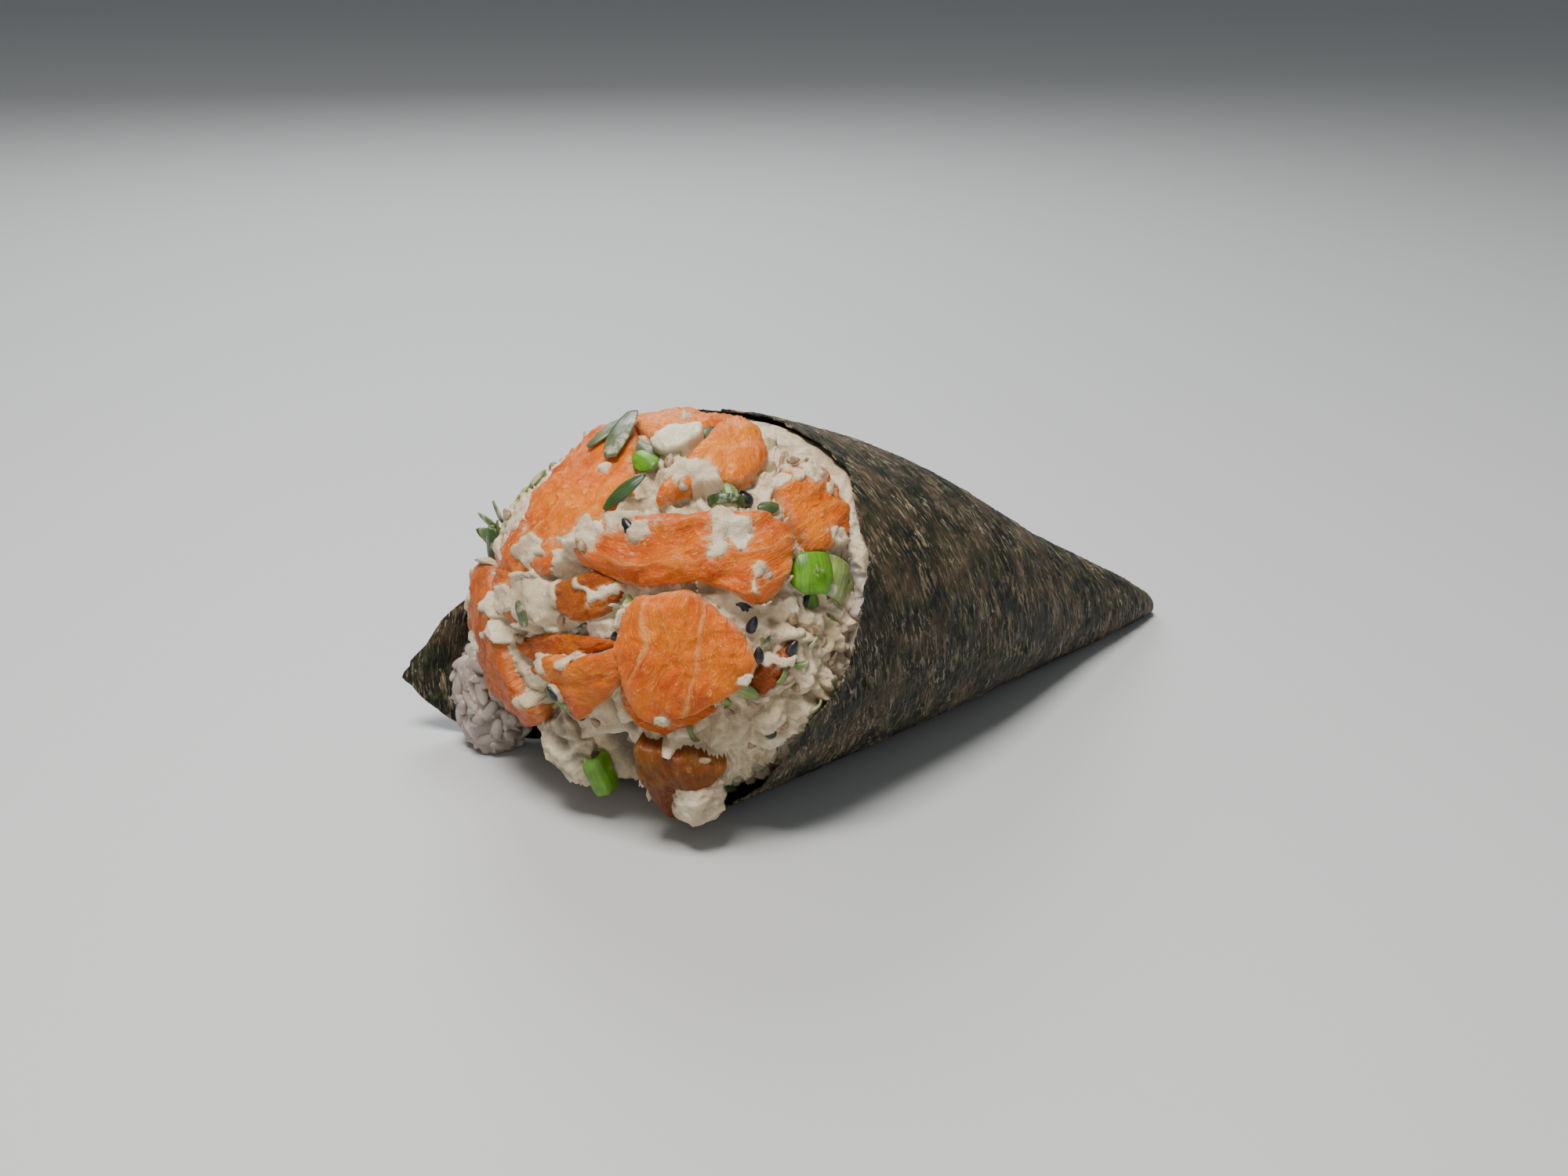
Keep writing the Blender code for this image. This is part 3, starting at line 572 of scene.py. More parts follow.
# Places on the face, sizes and depths of the gaps between the lumps that look black or brown; they lie low,
# so they also get the dressing's painted shade.
GAPS = (
    (-0.5, -28.5, 2.8, 8.0), (-1.5, -34.5, 3.0, 9.0), (-2.5, -41.5, 3.0, 8.0), (-5.5, -22, 1.8, 2.0),
    (-39.5, 10.8, 1.5, 3.0), (-30, 26, 1.8, 2.5), (4.5, -5.5, 1.5, 1.5), (-20, 27, 1.6, 1.5),
    (-17, -15.5, 2.0, 2.5), (-43, -11, 2.0, 1.8), (12, 3, 1.4, 1.5), (38, 33, 2.0, 2.0),
    (42, -4, 2.0, 2.0), (-30.5, 5, 1.2, 1.2),
)
HANGING_LUMP = ((-62.5, 1.3, 13.3), (6.1, 6.6, 8.0))
LOW_LUMP = ((-54.5, -20.5, 10.0), (4.7, 5.2, 5.5))


def face_grid(count, reach):
    """Square grid folded into a disc, so that it has no pole: each side is drawn in by the other's square."""
    u, v = np.meshgrid(np.linspace(-1, 1, count), np.linspace(-1, 1, count), indexing="xy")
    return reach * u * np.sqrt(1 - v * v / 2), reach * v * np.sqrt(1 - u * u / 2)


def square_rim(count):
    """Numbers of the grid's outer points: up the left side, over the top, down the right, back below."""
    steps = np.arange(count - 1)
    left, top = steps * count, (count - 1) * count + steps
    return np.concatenate([left, top, count * count - 1 - left, count - 1 - steps])


def in_rice(points):
    """How far points lie inside the space that the rice fills."""
    return (points - RICE_POINT) @ RICE_NORMAL


def contents_skin(count, height_at):
    """Skin of the contents: a folded square over the dome, rings from its rim to the cone's wall, a back."""
    a, b = face_grid(count, DOME_REACH)
    height = height_at(a, b)
    rim = square_rim(count)
    rim_a, rim_b = a.ravel()[rim], b.ravel()[rim]
    bearing = np.degrees(np.arctan2(rim_b, rim_a))
    bend = np.radians(bearing)
    dome = on_face(a, b, height).reshape(-1, 3)
    smooth = on_face(rim_a, rim_b, np.mean(height.ravel()[rim]))
    far = coordinates(np.cos(bend), np.sin(bend), 0.0) * FACE_SCALE
    uneven = np.clip(RIM_CLEAR * (1 + 1.2 * crumple(far, 5.0, 3, 39, 0.6)), 0.3, None)
    end = np.minimum(rim_distance(bearing) - uneven, PLUG_END)
    wall = cone_point(end, bearing, -WALL_CLEAR, WALL_CLEAR)
    share = np.linspace(0, 1, WALL_ROWS)[1:, None, None]
    straight = smooth + (wall - smooth) * share + (dome[rim] - smooth) * (1 - share)**RIM_FADE
    outward = coordinates(-1.0, np.cos(bend), np.sin(bend))
    bumps = 0.3 + 0.7 * crumple(straight, 4.5, 3, 33, 0.6) + 0.5 * ridges(straight, 3.0, 2, 35)
    covered = smooth_step(rim_distance(bearing) - PLUG_END, UNDER_SHEET, UNDER_SHEET_FULL)
    bumps = bumps * (1 - covered) - 0.6 * covered
    bridge = straight + RIM_BULGE * outward * bumps[..., None] * np.sin(math.pi * share)**0.35
    back_rows = np.linspace(PLUG_END - BACK_START, PLUG_START, BACK_ROWS)[:, None]
    deep = cone_point(back_rows, bearing, -WALL_CLEAR, WALL_CLEAR)
    back = [[TIP_X - PLUG_START, 0, CENTRE_HEIGHT * float(radius(PLUG_START))]]
    points = np.concatenate([dome, bridge.reshape(-1, 3), deep.reshape(-1, 3), back])
    points[:, 2] = np.maximum(points[:, 2], FLOOR_CLEAR)
    columns, rings = len(rim), WALL_ROWS - 1 + len(deep)
    order = np.concatenate([rim, count * count + np.arange(rings * columns)])
    sides = order[np.array(ring_faces(rings + 1, columns))].tolist()
    last = order[-columns:]
    closing = coordinates(len(points) - 1, np.roll(last, -1), last).tolist()
    level = np.concatenate([height.ravel(), np.full(len(points) - count * count, CREAM_DEPTH)])
    return points, ring_faces(count, count, around=False) + sides + closing, level


def salmon_cover(a, b):
    """Height of the highest salmon at each place, how far inside its edge that is, and its face's height."""
    top, inside, face = np.full(a.shape, -9.0), np.full(a.shape, -9.0), np.full(a.shape, -9.0)
    for name, (corners, thickness, lift, grain_angle, spacing, _, folds, _) in SALMON.items():
        middle, spokes = slab_edge(name, corners)
        bearing = np.arctan2(spokes[:, 1], spokes[:, 0])
        order = np.argsort(bearing)
        away = np.hypot(a - middle[0], b - middle[1])
        limit = np.interp(np.arctan2(b - middle[1], a - middle[0]), bearing[order],
                          np.hypot(*spokes.T)[order], period=2 * math.pi)
        depth = limit - away
        near = depth > -4
        relief = np.full(a.shape, -9.0)
        relief[near] = flesh_relief(a[near], b[near], grain_angle, spacing, folds, piece_seed(name))[0]
        middle_height = lift - SUNK + relief
        dome, level_face = (thickness / 2 * np.clip(1 - share**EDGE_ROUND, 0, 1)**(1 / EDGE_ROUND)
                            for share in (away / limit, np.minimum(away / limit, FACE_SHARE)))
        higher = (depth > 0) & (middle_height + dome > top) | (depth > inside) & (inside < 0)
        top = np.where(higher, middle_height + dome, top)
        face = np.where(higher, middle_height + level_face, face)
        inside = np.where(higher, depth, inside)
    return top, inside, face


def dressing_lumps(a, b):
    """Spooned lumps: round swellings pulled out of place at random, with creases, ridges and gaps."""
    spot = coordinates(a, b, 0.0)
    pulled = spot + 1.8 * coordinates(crumple(spot, 5.0, 2, 81), crumple(spot, 5.0, 2, 84), 0.0)
    gaps = sum(depth * np.exp(-((a - x)**2 + (b - y)**2) / size**2) for x, y, size, depth in GAPS)
    return (1.1 * grain(pulled, 9.0, 31) - 1.0 * ridges(pulled, 6.2, 1, 37)
            - 0.35 * ridges(pulled, 3.4, 1, 39) + 0.35 * ridges(pulled, 3.0, 1, 41)
            + 0.2 * ridges(pulled, 1.6, 2, 43) + 0.4 - gaps)


def dressing_height(a, b):
    """Lumpy base that climbs against the salmon's sides, and lies on it as a thin smear where one is."""
    spot = coordinates(a, b, 0.0)
    lump = dressing_lumps(a, b)
    base = CREAM_DEPTH + lump
    top, inside, face = salmon_cover(a, b)
    climb = np.exp(-np.clip(-inside, 0, None)**2 / 2.5) * (0.45 + 0.6 * grain(spot, 4.0, 45))
    level = base + np.clip(top - base, 0, None) * np.clip(climb, 0, 0.9)
    edge = 1.1 * np.exp(-np.clip(inside, 0, None) / 0.9)
    patch = smear_field(a, b) + edge * (0.35 + grain(spot, 5.0, 47))
    cover = smooth_step(patch, -0.2, 0.45)
    thin = top + (face - top) * cover - SMEAR_SUNK + SMEAR_THICK * cover
    thin += 0.3 * np.clip(lump, -0.8, 1.5) * smooth_step(patch, 0, 0.4)
    height = level + (thin - level) * smooth_step(inside + OVERHANG * cover, -0.3, 0.9)
    return height - RICE_DROP * smooth_step(in_rice(on_face(a, b, height)), -0.5, 2.5)


def dressing_finish():
    """Warm off-white cream with painted shade, greyer and darker low between the lumps, and a wet shine."""
    finish, tree, shader, place = new_finish(
        "cream_dressing", 0.36, Specular_IOR_Level=0.5, Subsurface_Weight=0.2, Subsurface_Scale=0.0012,
        Subsurface_Radius=(1.0, 0.75, 0.5), Coat_Weight=0.1, Coat_Roughness=0.25)
    cloud = noise(tree, place["Object"], 150, Detail=5, Roughness=0.6)
    cream = band(tree, cloud, (0.34, (0.47, 0.355, 0.215)), (0.50, (0.65, 0.52, 0.335)),
                 (0.66, (0.80, 0.69, 0.49)))
    # Painted shade: the low places of the dressing are mixed toward a dark grey brown.
    low = band(tree, marked(tree, "painted_hollow_shade"), (0.0, 0.0), (1.0, 0.88))
    cream = blended(tree, low, cream, (0.17, 0.135, 0.09))
    tree.links.new(cream, shader.inputs["Base Color"])
    fine = noise(tree, place["Object"], 620, Detail=6, Roughness=0.68)
    raised(tree, shader, fine, 0.0013, 0.7)
    return finish


def ball(rows, around, taper=0.0):
    """Rings of a ball along its first axis, then its poles; taper narrows it to one end, as a seed is."""
    tilt = np.linspace(0, math.pi, rows + 2)[1:-1, None]
    turn = np.linspace(0, 2 * math.pi, around, endpoint=False)
    width = np.sin(tilt) * (1 - taper * np.cos(tilt))
    rings = coordinates(np.cos(tilt), width * np.cos(turn), width * np.sin(turn))
    return np.concatenate([rings.reshape(-1, 3), [(1.0, 0, 0), (-1.0, 0, 0)]])


def closed_lump(name, centre, half, finish, seed, bumps, pitch=4.0, rows=90, columns=120):
    """An oval lump: a ball scaled to its half axes, pushed in and out along its spokes by a random field."""
    unit = ball(rows, columns)[:, [1, 2, 0]]
    oval = unit * np.array(half)
    push = crumple(oval, pitch * 1.4, 2, seed) + 0.7 * ridges(oval, pitch, 3, seed + 9, 0.45) - 0.6
    points = np.array(centre) + oval + unit * bumps * push[:, None]
    points[:, 2] = np.maximum(points[:, 2], FLOOR_CLEAR / 2)
    faces = ring_faces(rows, columns) + cap_faces(rows, columns)
    # The pushed-in places are marked for painted shade in the dressing's colour.
    return put_mesh(name, points, faces, finish, (("painted_hollow_shade", smooth_step(-push, -0.4, 1.2)),))


cream_dressing = dressing_finish()
skin_points, skin_faces, skin_level = contents_skin(FACE_GRID, dressing_height)
# Painted shade: the lower the dressing lies under its usual depth, the darker it is coloured.
painted_hollow_shade = smooth_step(CREAM_DEPTH - skin_level, 0.2, 2.4)
belongs(put_mesh("dressing", skin_points, skin_faces, cream_dressing, (("painted_hollow_shade", painted_hollow_shade),)),
        "cream", "cream_filling")
for lump_name, lump_shape, lump_seed in (("dressing_hanging", HANGING_LUMP, 61),
                                         ("dressing_low", LOW_LUMP, 67)):
    belongs(closed_lump(lump_name, *lump_shape, cream_dressing, lump_seed, 0.9), "cream", "cream_filling")

# White cheese in the dressing
# A smooth lump of firm cream cheese that was not stirred in. It is moist, has soft corners and lies half sunk
# between the upper pieces of salmon.
CHEESE = (((4, 33), (2, 38), (-2, 40.5), (-4.5, 38), (-3, 33.5), (0, 31)), 5.0, -1.4, 40, 6.0, 0.0, 0.0, 0.5)


def cheese_finish():
    """Pale yellow white, smooth and moist."""
    finish, tree, shader, place = new_finish(
        "firm_cheese", 0.4, Subsurface_Weight=0.25, Subsurface_Scale=0.0015,
        Subsurface_Radius=(1.0, 0.8, 0.5))
    cloud = noise(tree, place["Object"], 200, Detail=4)
    white = band(tree, cloud, (0.35, (0.56, 0.50, 0.32)), (0.65, (0.70, 0.65, 0.46)))
    tree.links.new(white, shader.inputs["Base Color"])
    raised(tree, shader, cloud, 0.0006, 0.4)
    return finish


belongs(slab_piece("cheese", CHEESE, cheese_finish()), "cream", "cream_filling")

# Cooked rice
# Short-grain rice, sticky and slightly crushed. It fills the low far side of the cone, and a clump of it has
# been pushed out beside the dressing, under the loose corner of the nori.
RICE_CLUMP = ((-61.2, 30.6, 9.5), (6.4, 7.7, 10.8))
RICE_DEPTH, DRESSING_DROP = -1.5, 5.0
GRAIN = (5.6, 2.4, 2.1)
GRAIN_LEAN = 0.35
RICE_GRID = 150
FACE_GRAINS, CLUMP_GRAINS, GRAIN_TRIES = 190, 62, 9000
GRAINS_A, GRAINS_B, GRAINS_REACH = (10, 58), (-54, -2), 58
GRAINS_APART, GRAINS_DEEP, GRAINS_OVER_FLOOR = 2.2, 0.6, 1.6
CLUMP_DOWN_TO, CLUMP_OVER_FLOOR, GRAIN_SUNK = 1.75, 1.3, 0.75
GOLDEN_TURN = 2 * math.pi * 0.618034
GRAIN_ROWS, GRAIN_AROUND = 8, 12


def rice_finish():
    """Moist grey-white grain, faintly see-through, with painted shade: coloured darker than the rice's own
    white.
    """
    finish, tree, shader, place = new_finish(
        "cooked_rice", 0.36, Specular_IOR_Level=0.5, Subsurface_Weight=0.35, Subsurface_Scale=0.0016,
        Subsurface_Radius=(1.0, 0.85, 0.75))
    cloud = noise(tree, place["Object"], 220, Detail=3)
    # Painted shade: both greys are darker than the white of cooked rice.
    white = band(tree, cloud, (0.35, (0.27, 0.215, 0.18)), (0.65, (0.46, 0.385, 0.33)))
    tree.links.new(white, shader.inputs["Base Color"])
    raised(tree, shader, cloud, 0.0005, 0.4)
    return finish


def rice_height(a, b):
    """Lumpy level of the rice, sunk away where the dressing takes its place."""
    spot = coordinates(a, b, 0.0)
    height = RICE_DEPTH + 0.5 * crumple(spot, 5.0, 2, 91) + 0.5 * ridges(spot, 3.0, 2, 95)
    return height - DRESSING_DROP * smooth_step(-in_rice(on_face(a, b, height)), -1.0, 1.5)


def joined_ovals(name, places, axes, size, taper, rows, around, finish):
    """Many small balls in one mesh, each scaled to the size, turned to its own axes and put in its place."""
    oval = ball(rows, around, taper) * (np.array(size) / 2)
    points = places[:, None] + oval @ axes
    first = (np.arange(len(places)) * len(oval))[:, None, None]
    joined = [(np.array(faces) + first).reshape(-1, len(faces[0])).tolist()
              for faces in (ring_faces(rows, around), cap_faces(rows, around))]
    return put_mesh(name, points, joined[0] + joined[1], finish)


def lying(up, draw):
    """Rows forward, side and up of each grain: a random direction across the given up, leaning a little."""
    wild = np.array([[draw.uniform(-1, 1) for _ in range(3)] for _ in range(len(up))])
    forward = unit_length(unit_length(np.cross(up, wild)) + GRAIN_LEAN * up * wild[:, :1])
    side = unit_length(np.cross(up, forward))
    return np.stack([forward, side, np.cross(forward, side)], 1)


def face_grains():
    """Grains spread over the rice that shows beside the dome, kept apart from each other."""
    draw = random.Random(7)
    kept = []
    for _ in range(GRAIN_TRIES):
        a, b = draw.uniform(*GRAINS_A), draw.uniform(*GRAINS_B)
        place = on_face(a, b, rice_height(np.array(a), np.array(b)) + 0.1)
        clear = place[2] > GRAINS_OVER_FLOOR and math.hypot(a, b) < GRAINS_REACH
        if clear and in_rice(place) > GRAINS_DEEP and all(
                np.linalg.norm(place - other) > GRAINS_APART for other, _ in kept):
            kept.append((place, on_face(a, b, 1.0) - on_face(a, b, 0.0)))
        if len(kept) == FACE_GRAINS:
            break
    places, up = (np.array(column) for column in zip(*kept))
    return places, lying(up, draw)


def clump_grains():
    """Grains that cover the clump, turned step by step round it from its top to its foot."""
    draw = random.Random(11)
    share = (np.arange(CLUMP_GRAINS) + 0.5) / CLUMP_GRAINS
    rise = 1 - CLUMP_DOWN_TO * share
    turn = GOLDEN_TURN * np.arange(CLUMP_GRAINS)
    level = np.sqrt(1 - rise * rise)
    up = coordinates(np.cos(turn) * level, np.sin(turn) * level, rise)
    places = np.array(RICE_CLUMP[0]) + up * (np.array(RICE_CLUMP[1]) - GRAIN_SUNK)
    keep = places[:, 2] > CLUMP_OVER_FLOOR
    return places[keep], lying(up[keep], draw)


cooked_rice = rice_finish()
rice_points, rice_faces, _ = contents_skin(RICE_GRID, rice_height)
belongs(put_mesh("rice_bed", rice_points, rice_faces, cooked_rice), "rice", "rice")
belongs(closed_lump("rice_clump", *RICE_CLUMP, cooked_rice, 71, 1.2, 3.0), "rice", "rice")
for grain_name, grains in (("rice_grains", face_grains()), ("rice_clump_grains", clump_grains())):
    belongs(joined_ovals(grain_name, *grains, GRAIN, 0.0, GRAIN_ROWS, GRAIN_AROUND, cooked_rice),
            "rice", "rice")

# Scallion and herbs
# Scallion cut across into rings and lengthwise into half tubes and strips, and a small sprig of thin leaves.
# Every piece is a thin curved wall, glossy outside and paler inside, pushed partly into the dressing.
WALL, SAG, STEP_AHEAD = 0.4, 0.07, 0.1
GREEN_ROWS, GREEN_COLUMNS = 14, 18
# Columns: place on the dome's face, height over what lies there, direction, length, radius and angle of its
# curve, how far it stands up, how pointed its ends are, and its tone from 0 grey green to 1 bright green.
RING = (
    (-37.2, 16.2, 2.1, 70, 6.6, 4.6, 136, 0, 0.5, 1.0), (-43.2, 17.0, 2.4, 92, 6.6, 5.0, 132, 4, 0.4, 0.66),
    (-46.5, 16.4, 1.2, 150, 6.5, 2.6, 130, 0, 0.5, 0.6), (-39.5, 12.6, 0.9, 60, 4.5, 2.0, 130, 0, 0.6, 0.95),
)
LEAF = (
    (9.4, 32.6, 1.3, 70, 12.5, 4.4, 60, 0, 0.55, 0.12), (5.2, 31.4, 1.5, 30, 8.0, 3.6, 66, 2, 0.6, 0.2),
    (12.6, 32.0, 0.9, 100, 7.5, 2.6, 75, 0, 0.8, 0.05),
)
SPRIG = (
    (33.0, 12.5, 2.4, 95, 6.0, 2.4, 60, 55, 1.0, 0.44), (33.5, 10.5, 2.6, 70, 5.5, 2.0, 60, 72, 1.0, 0.5),
    (34.5, 8.5, 2.4, 10, 5.5, 2.2, 60, 60, 1.0, 0.46), (33.0, 8.0, 2.0, 30, 5.5, 2.0, 60, 40, 1.0, 0.5),
    (31.5, 9.5, 1.4, 120, 5.0, 2.0, 60, 30, 1.0, 0.4), (32.0, 6.0, 1.8, 100, 7.0, 1.9, 190, 25, 0.3, 0.42),
)
STRIPS = (
    (2.5, 28.0, 1.1, 20, 5.2, 2.4, 110, 0, 0.6, 1.0), (1.2, 33.2, 1.1, 30, 7.5, 4.0, 60, 0, 0.8, 0.15),
    (2.0, 20.4, 0.7, 120, 8.5, 2.2, 75, 3, 0.9, 0.45), (-15.8, 25.0, 1.0, 70, 1.5, 3.0, 170, 15, 0.0, 0.45),
    (-15.6, 26.8, 0.8, 50, 4.2, 1.7, 100, 0, 0.7, 0.55), (-3.0, 1.6, 0.9, 15, 1.3, 2.7, 170, 18, 0.0, 0.6),
    (-2.6, 43.0, 0.6, 80, 6.5, 2.4, 80, 0, 0.8, 0.3), (10.4, -20.4, 0.9, 25, 6.4, 1.5, 120, 0, 0.7, 0.8),
    (-22.0, -12.6, 0.6, 10, 4.2, 1.6, 90, 0, 0.8, 0.75), (-34.3, -5.2, 0.6, 15, 0.8, 2.0, 120, 10, 0.0, 0.55),
    (-17.5, -19.3, 0.5, 160, 0.8, 2.2, 120, 10, 0.0, 0.55), (-27.5, -9.3, 0.5, 20, 3.6, 1.5, 90, 0, 0.8, 0.7),
    (-38.5, -3.0, 0.6, 80, 0.8, 1.8, 120, 10, 0.0, 0.8), (-24.0, 26.5, 0.5, 150, 3.5, 1.5, 100, 0, 0.7, 0.35),
    (14.5, -3.0, 0.6, 60, 4.5, 2.0, 80, 0, 0.7, 0.15), (5.5, -3.8, 0.5, 60, 0.8, 2.2, 120, 10, 0.0, 0.3),
    (-47.0, 8.5, 0.5, 70, 2.6, 1.3, 100, 0, 0.7, 0.9), (-21.5, -42.5, 0.6, 60, 8.0, 3.6, 70, 0, 0.8, 0.42),
    (-6.5, -19.5, 0.5, 160, 2.6, 1.3, 100, 0, 0.7, 0.6), (40.0, -3.0, 0.5, 60, 5.0, 2.2, 80, 0, 0.7, 0.5),
    (43.0, 20.5, 0.5, 20, 0.9, 2.6, 130, 10, 0.0, 0.8), (31.0, 23.0, 0.5, 110, 5.0, 2.0, 80, 0, 0.8, 0.9),
    (31.0, 31.5, 0.5, 40, 0.9, 2.4, 130, 10, 0.0, 0.7), (22.5, 42.5, 0.5, 20, 4.0, 1.7, 90, 0, 0.7, 0.6),
    (50.0, 28.0, 0.4, 80, 4.0, 1.9, 90, 0, 0.7, 0.3), (34.0, -14.0, 0.5, 50, 0.9, 2.2, 120, 10, 0.0, 0.6),
    (-27.0, 49.0, 0.4, 30, 4.0, 1.6, 90, 0, 0.7, 0.4), (-43.5, -14.0, 0.5, 70, 0.8, 2.2, 120, 10, 0.0, 0.6),
    (-30.0, 1.5, 0.5, 130, 2.4, 1.1, 110, 0, 0.7, 0.2), (-41.0, 2.5, 0.4, 30, 0.7, 1.6, 120, 10, 0.0, 0.7),
)


def surface_height(a, b):
    """Height of the topmost food at each place, dressing or salmon."""
    top, inside, _ = salmon_cover(a, b)
    height = dressing_height(a, b)
    return np.where(inside > 0, np.maximum(height, top), height)


def face_frame(a, b, height, turn, stand):
    """Place on the dome and rows forward, side and up there, turned in the surface and tipped up by stand."""
    turn, tip = math.radians(turn), math.radians(stand)
    place = on_face(a, b, height)
    up = on_face(a, b, height + 1.0) - place
    ahead = on_face(a + STEP_AHEAD * math.cos(turn), b + STEP_AHEAD * math.sin(turn), height)
    forward = unit_length(ahead - place)
    side = unit_length(np.cross(up, forward))
    forward, up = forward * math.cos(tip) + up * math.sin(tip), up * math.cos(tip) - forward * math.sin(tip)
    return place, np.stack([forward, side, up])


def curved_wall(a, b, height, turn, length, curve, sweep, stand, pointed, tone):
    """A strip bent round a curve: outer and inner grids joined along their edges, narrowed to the ends."""
    share = np.linspace(-1, 1, GREEN_ROWS)[:, None]
    along = share * length / 2
    angle = np.radians(sweep / 2) * np.linspace(-1, 1, GREEN_COLUMNS)[None] * (1 - pointed * share**2)
    wave = 0.18 * grain(coordinates(along, angle * curve, a + b), 2.5, 101)
    bow = -SAG * length * share**2
    outer, inner = (coordinates(along, reach * np.sin(angle), reach * np.cos(angle) - curve + bow)
                    for reach in (curve + wave, curve - WALL + wave))
    strip = np.concatenate([outer, inner[:, ::-1]], 1)
    place, rows = face_frame(a, b, height, turn, stand)
    points = place + strip.reshape(-1, 3) @ rows
    columns = 2 * GREEN_COLUMNS
    faces = ring_faces(GREEN_ROWS, columns)
    for row, forwards in ((0, True), (GREEN_ROWS - 1, False)):
        first = row * columns
        for i in range(GREEN_COLUMNS - 1):
            face = [first + i, first + i + 1, first + columns - 2 - i, first + columns - 1 - i]
            faces.append(face if forwards else face[::-1])
    inside = np.tile(np.repeat([0.0, 1.0], GREEN_COLUMNS), GREEN_ROWS)
    flat = coordinates(along, np.concatenate([angle, angle[:, ::-1]], 1) * curve)
    return points, faces, np.full(len(points), tone), inside, flat.reshape(-1, 2)


def green_group(name, rows, finish):
    """All strips of one group in one mesh, each laid on the dressing or the salmon under it."""
    points, faces, tones, insides, flats, first = [], [], [], [], [], 0
    level = surface_height(*np.array(rows, float)[:, :2].T)
    for (a, b, height, *shape), under in zip(rows, level):
        strip, quads, tone, inside, flat = curved_wall(a, b, under + height, *shape)
        points.append(strip)
        faces += [[corner + first for corner in quad] for quad in quads]
        tones.append(tone)
        insides.append(inside)
        flats.append(flat + first)
        first += len(strip)
    labels = (("tone", np.concatenate(tones)), ("inside", np.concatenate(insides)))
    return put_mesh(name, np.concatenate(points), faces, finish, labels, np.concatenate(flats))


def green_finish():
    """Waxy green from grey to bright green by the tone, paler inside, with fine veins and cream on it."""
    finish, tree, shader, place = new_finish(
        "scallion_green", 0.38, Specular_IOR_Level=0.5, Subsurface_Weight=0.2, Subsurface_Scale=0.0010,
        Subsurface_Radius=(0.5, 1.0, 0.2))
    green = band(tree, marked(tree, "tone"), (0.0, (0.16, 0.19, 0.09)), (0.45, (0.035, 0.085, 0.018)),
                 (0.62, (0.27, 0.34, 0.10)), (1.0, (0.12, 0.30, 0.008)))
    cloud = noise(tree, place["Object"], 330, Detail=4)
    shade = band(tree, cloud, (0.35, 0.55), (0.62, 1.0))
    green = blended(tree, 1.0, green, shade, "MULTIPLY")
    veins = noise(tree, stretched(tree, place["UV"], (0.12, 1.0, 1.0)), 1.6, Detail=3)
    stripes = band(tree, veins, (0.38, 0.82), (0.55, 1.0), (0.70, 1.15))
    green = blended(tree, 1.0, green, stripes, "MULTIPLY")
    green = blended(tree, product(tree, marked(tree, "inside"), 0.5), green, (0.34, 0.42, 0.16))
    smear = noise(tree, place["Object"], 210, Detail=5, Roughness=0.6)
    milky = band(tree, smear, (0.56, 0.0), (0.64, 0.8))
    green = blended(tree, milky, green, (0.50, 0.44, 0.32))
    tree.links.new(green, shader.inputs["Base Color"])
    raised(tree, shader, veins, 0.0008, 0.25)
    return finish


scallion_green = green_finish()
for group_name, group_rows, group_node in (("scallion_ring_walls", RING, "scallion_ring"),
                                           ("scallion_leaf_walls", LEAF, "scallion_leaf"),
                                           ("herb_sprig_leaves", SPRIG, "herb_sprig"),
                                           ("chopped_greens", STRIPS, "cream_filling")):
    belongs(green_group(group_name, group_rows, scallion_green), "scallion", group_node)

# Bright half tube at the hanging lump
# A short piece of scallion tube with ribs along it, open at both ends and squeezed a little flat. It is stuck
# to the lump of dressing that hangs out at the lower left.
HANGING_TUBE = ((-62.6, -5.0, 9.2), 2.3, 7.6)
TUBE_AROUND, TUBE_ROWS, TUBE_WALL, TUBE_FLAT = 60, 22, 0.28, 0.8


def hanging_tube():
    """A ribbed tube: rings of a waved circle up the outside and down the inside, narrowed at both ends."""
    centre, tube_radius, length = HANGING_TUBE
    turn = np.linspace(0, 2 * math.pi, TUBE_AROUND, endpoint=False)
    along = np.linspace(-0.5, 0.5, TUBE_ROWS)[:, None]
    ribs = 0.22 * np.abs(np.sin(2.5 * turn)) + 0.1 * np.sin(9 * along + 2 * turn)
    narrow = 1 - 2 * np.abs(along)**3
    outer, inner = (coordinates(reach * np.cos(turn), TUBE_FLAT * reach * np.sin(turn), along * length)
                    for reach in (tube_radius * narrow + ribs,
                                  tube_radius * (narrow - TUBE_WALL) + 0.6 * ribs))
    tube = np.concatenate([outer, inner[::-1]]).reshape(-1, 3)
    lean = np.array(((0.94, 0.0, 0.34), (0.0, 1.0, 0.0), (-0.34, 0.0, 0.94)))
    faces = np.array(ring_faces(2 * TUBE_ROWS, TUBE_AROUND))[:, ::-1].tolist()
    column = np.arange(TUBE_AROUND)
    after, last = (column + 1) % TUBE_AROUND, (2 * TUBE_ROWS - 1) * TUBE_AROUND
    faces += coordinates(last + after, after, column, last + column).tolist()
    labels = (("tone", np.ones(len(tube))), ("inside", np.repeat([0.0, 1.0], len(tube) // 2)))
    flat = coordinates(tube[:, 2], np.tile(turn, 2 * TUBE_ROWS) * tube_radius)
    return put_mesh("hanging_scallion", np.array(centre) + tube @ lean, faces, scallion_green, labels, flat)


belongs(hanging_tube(), "scallion", "cream_filling")

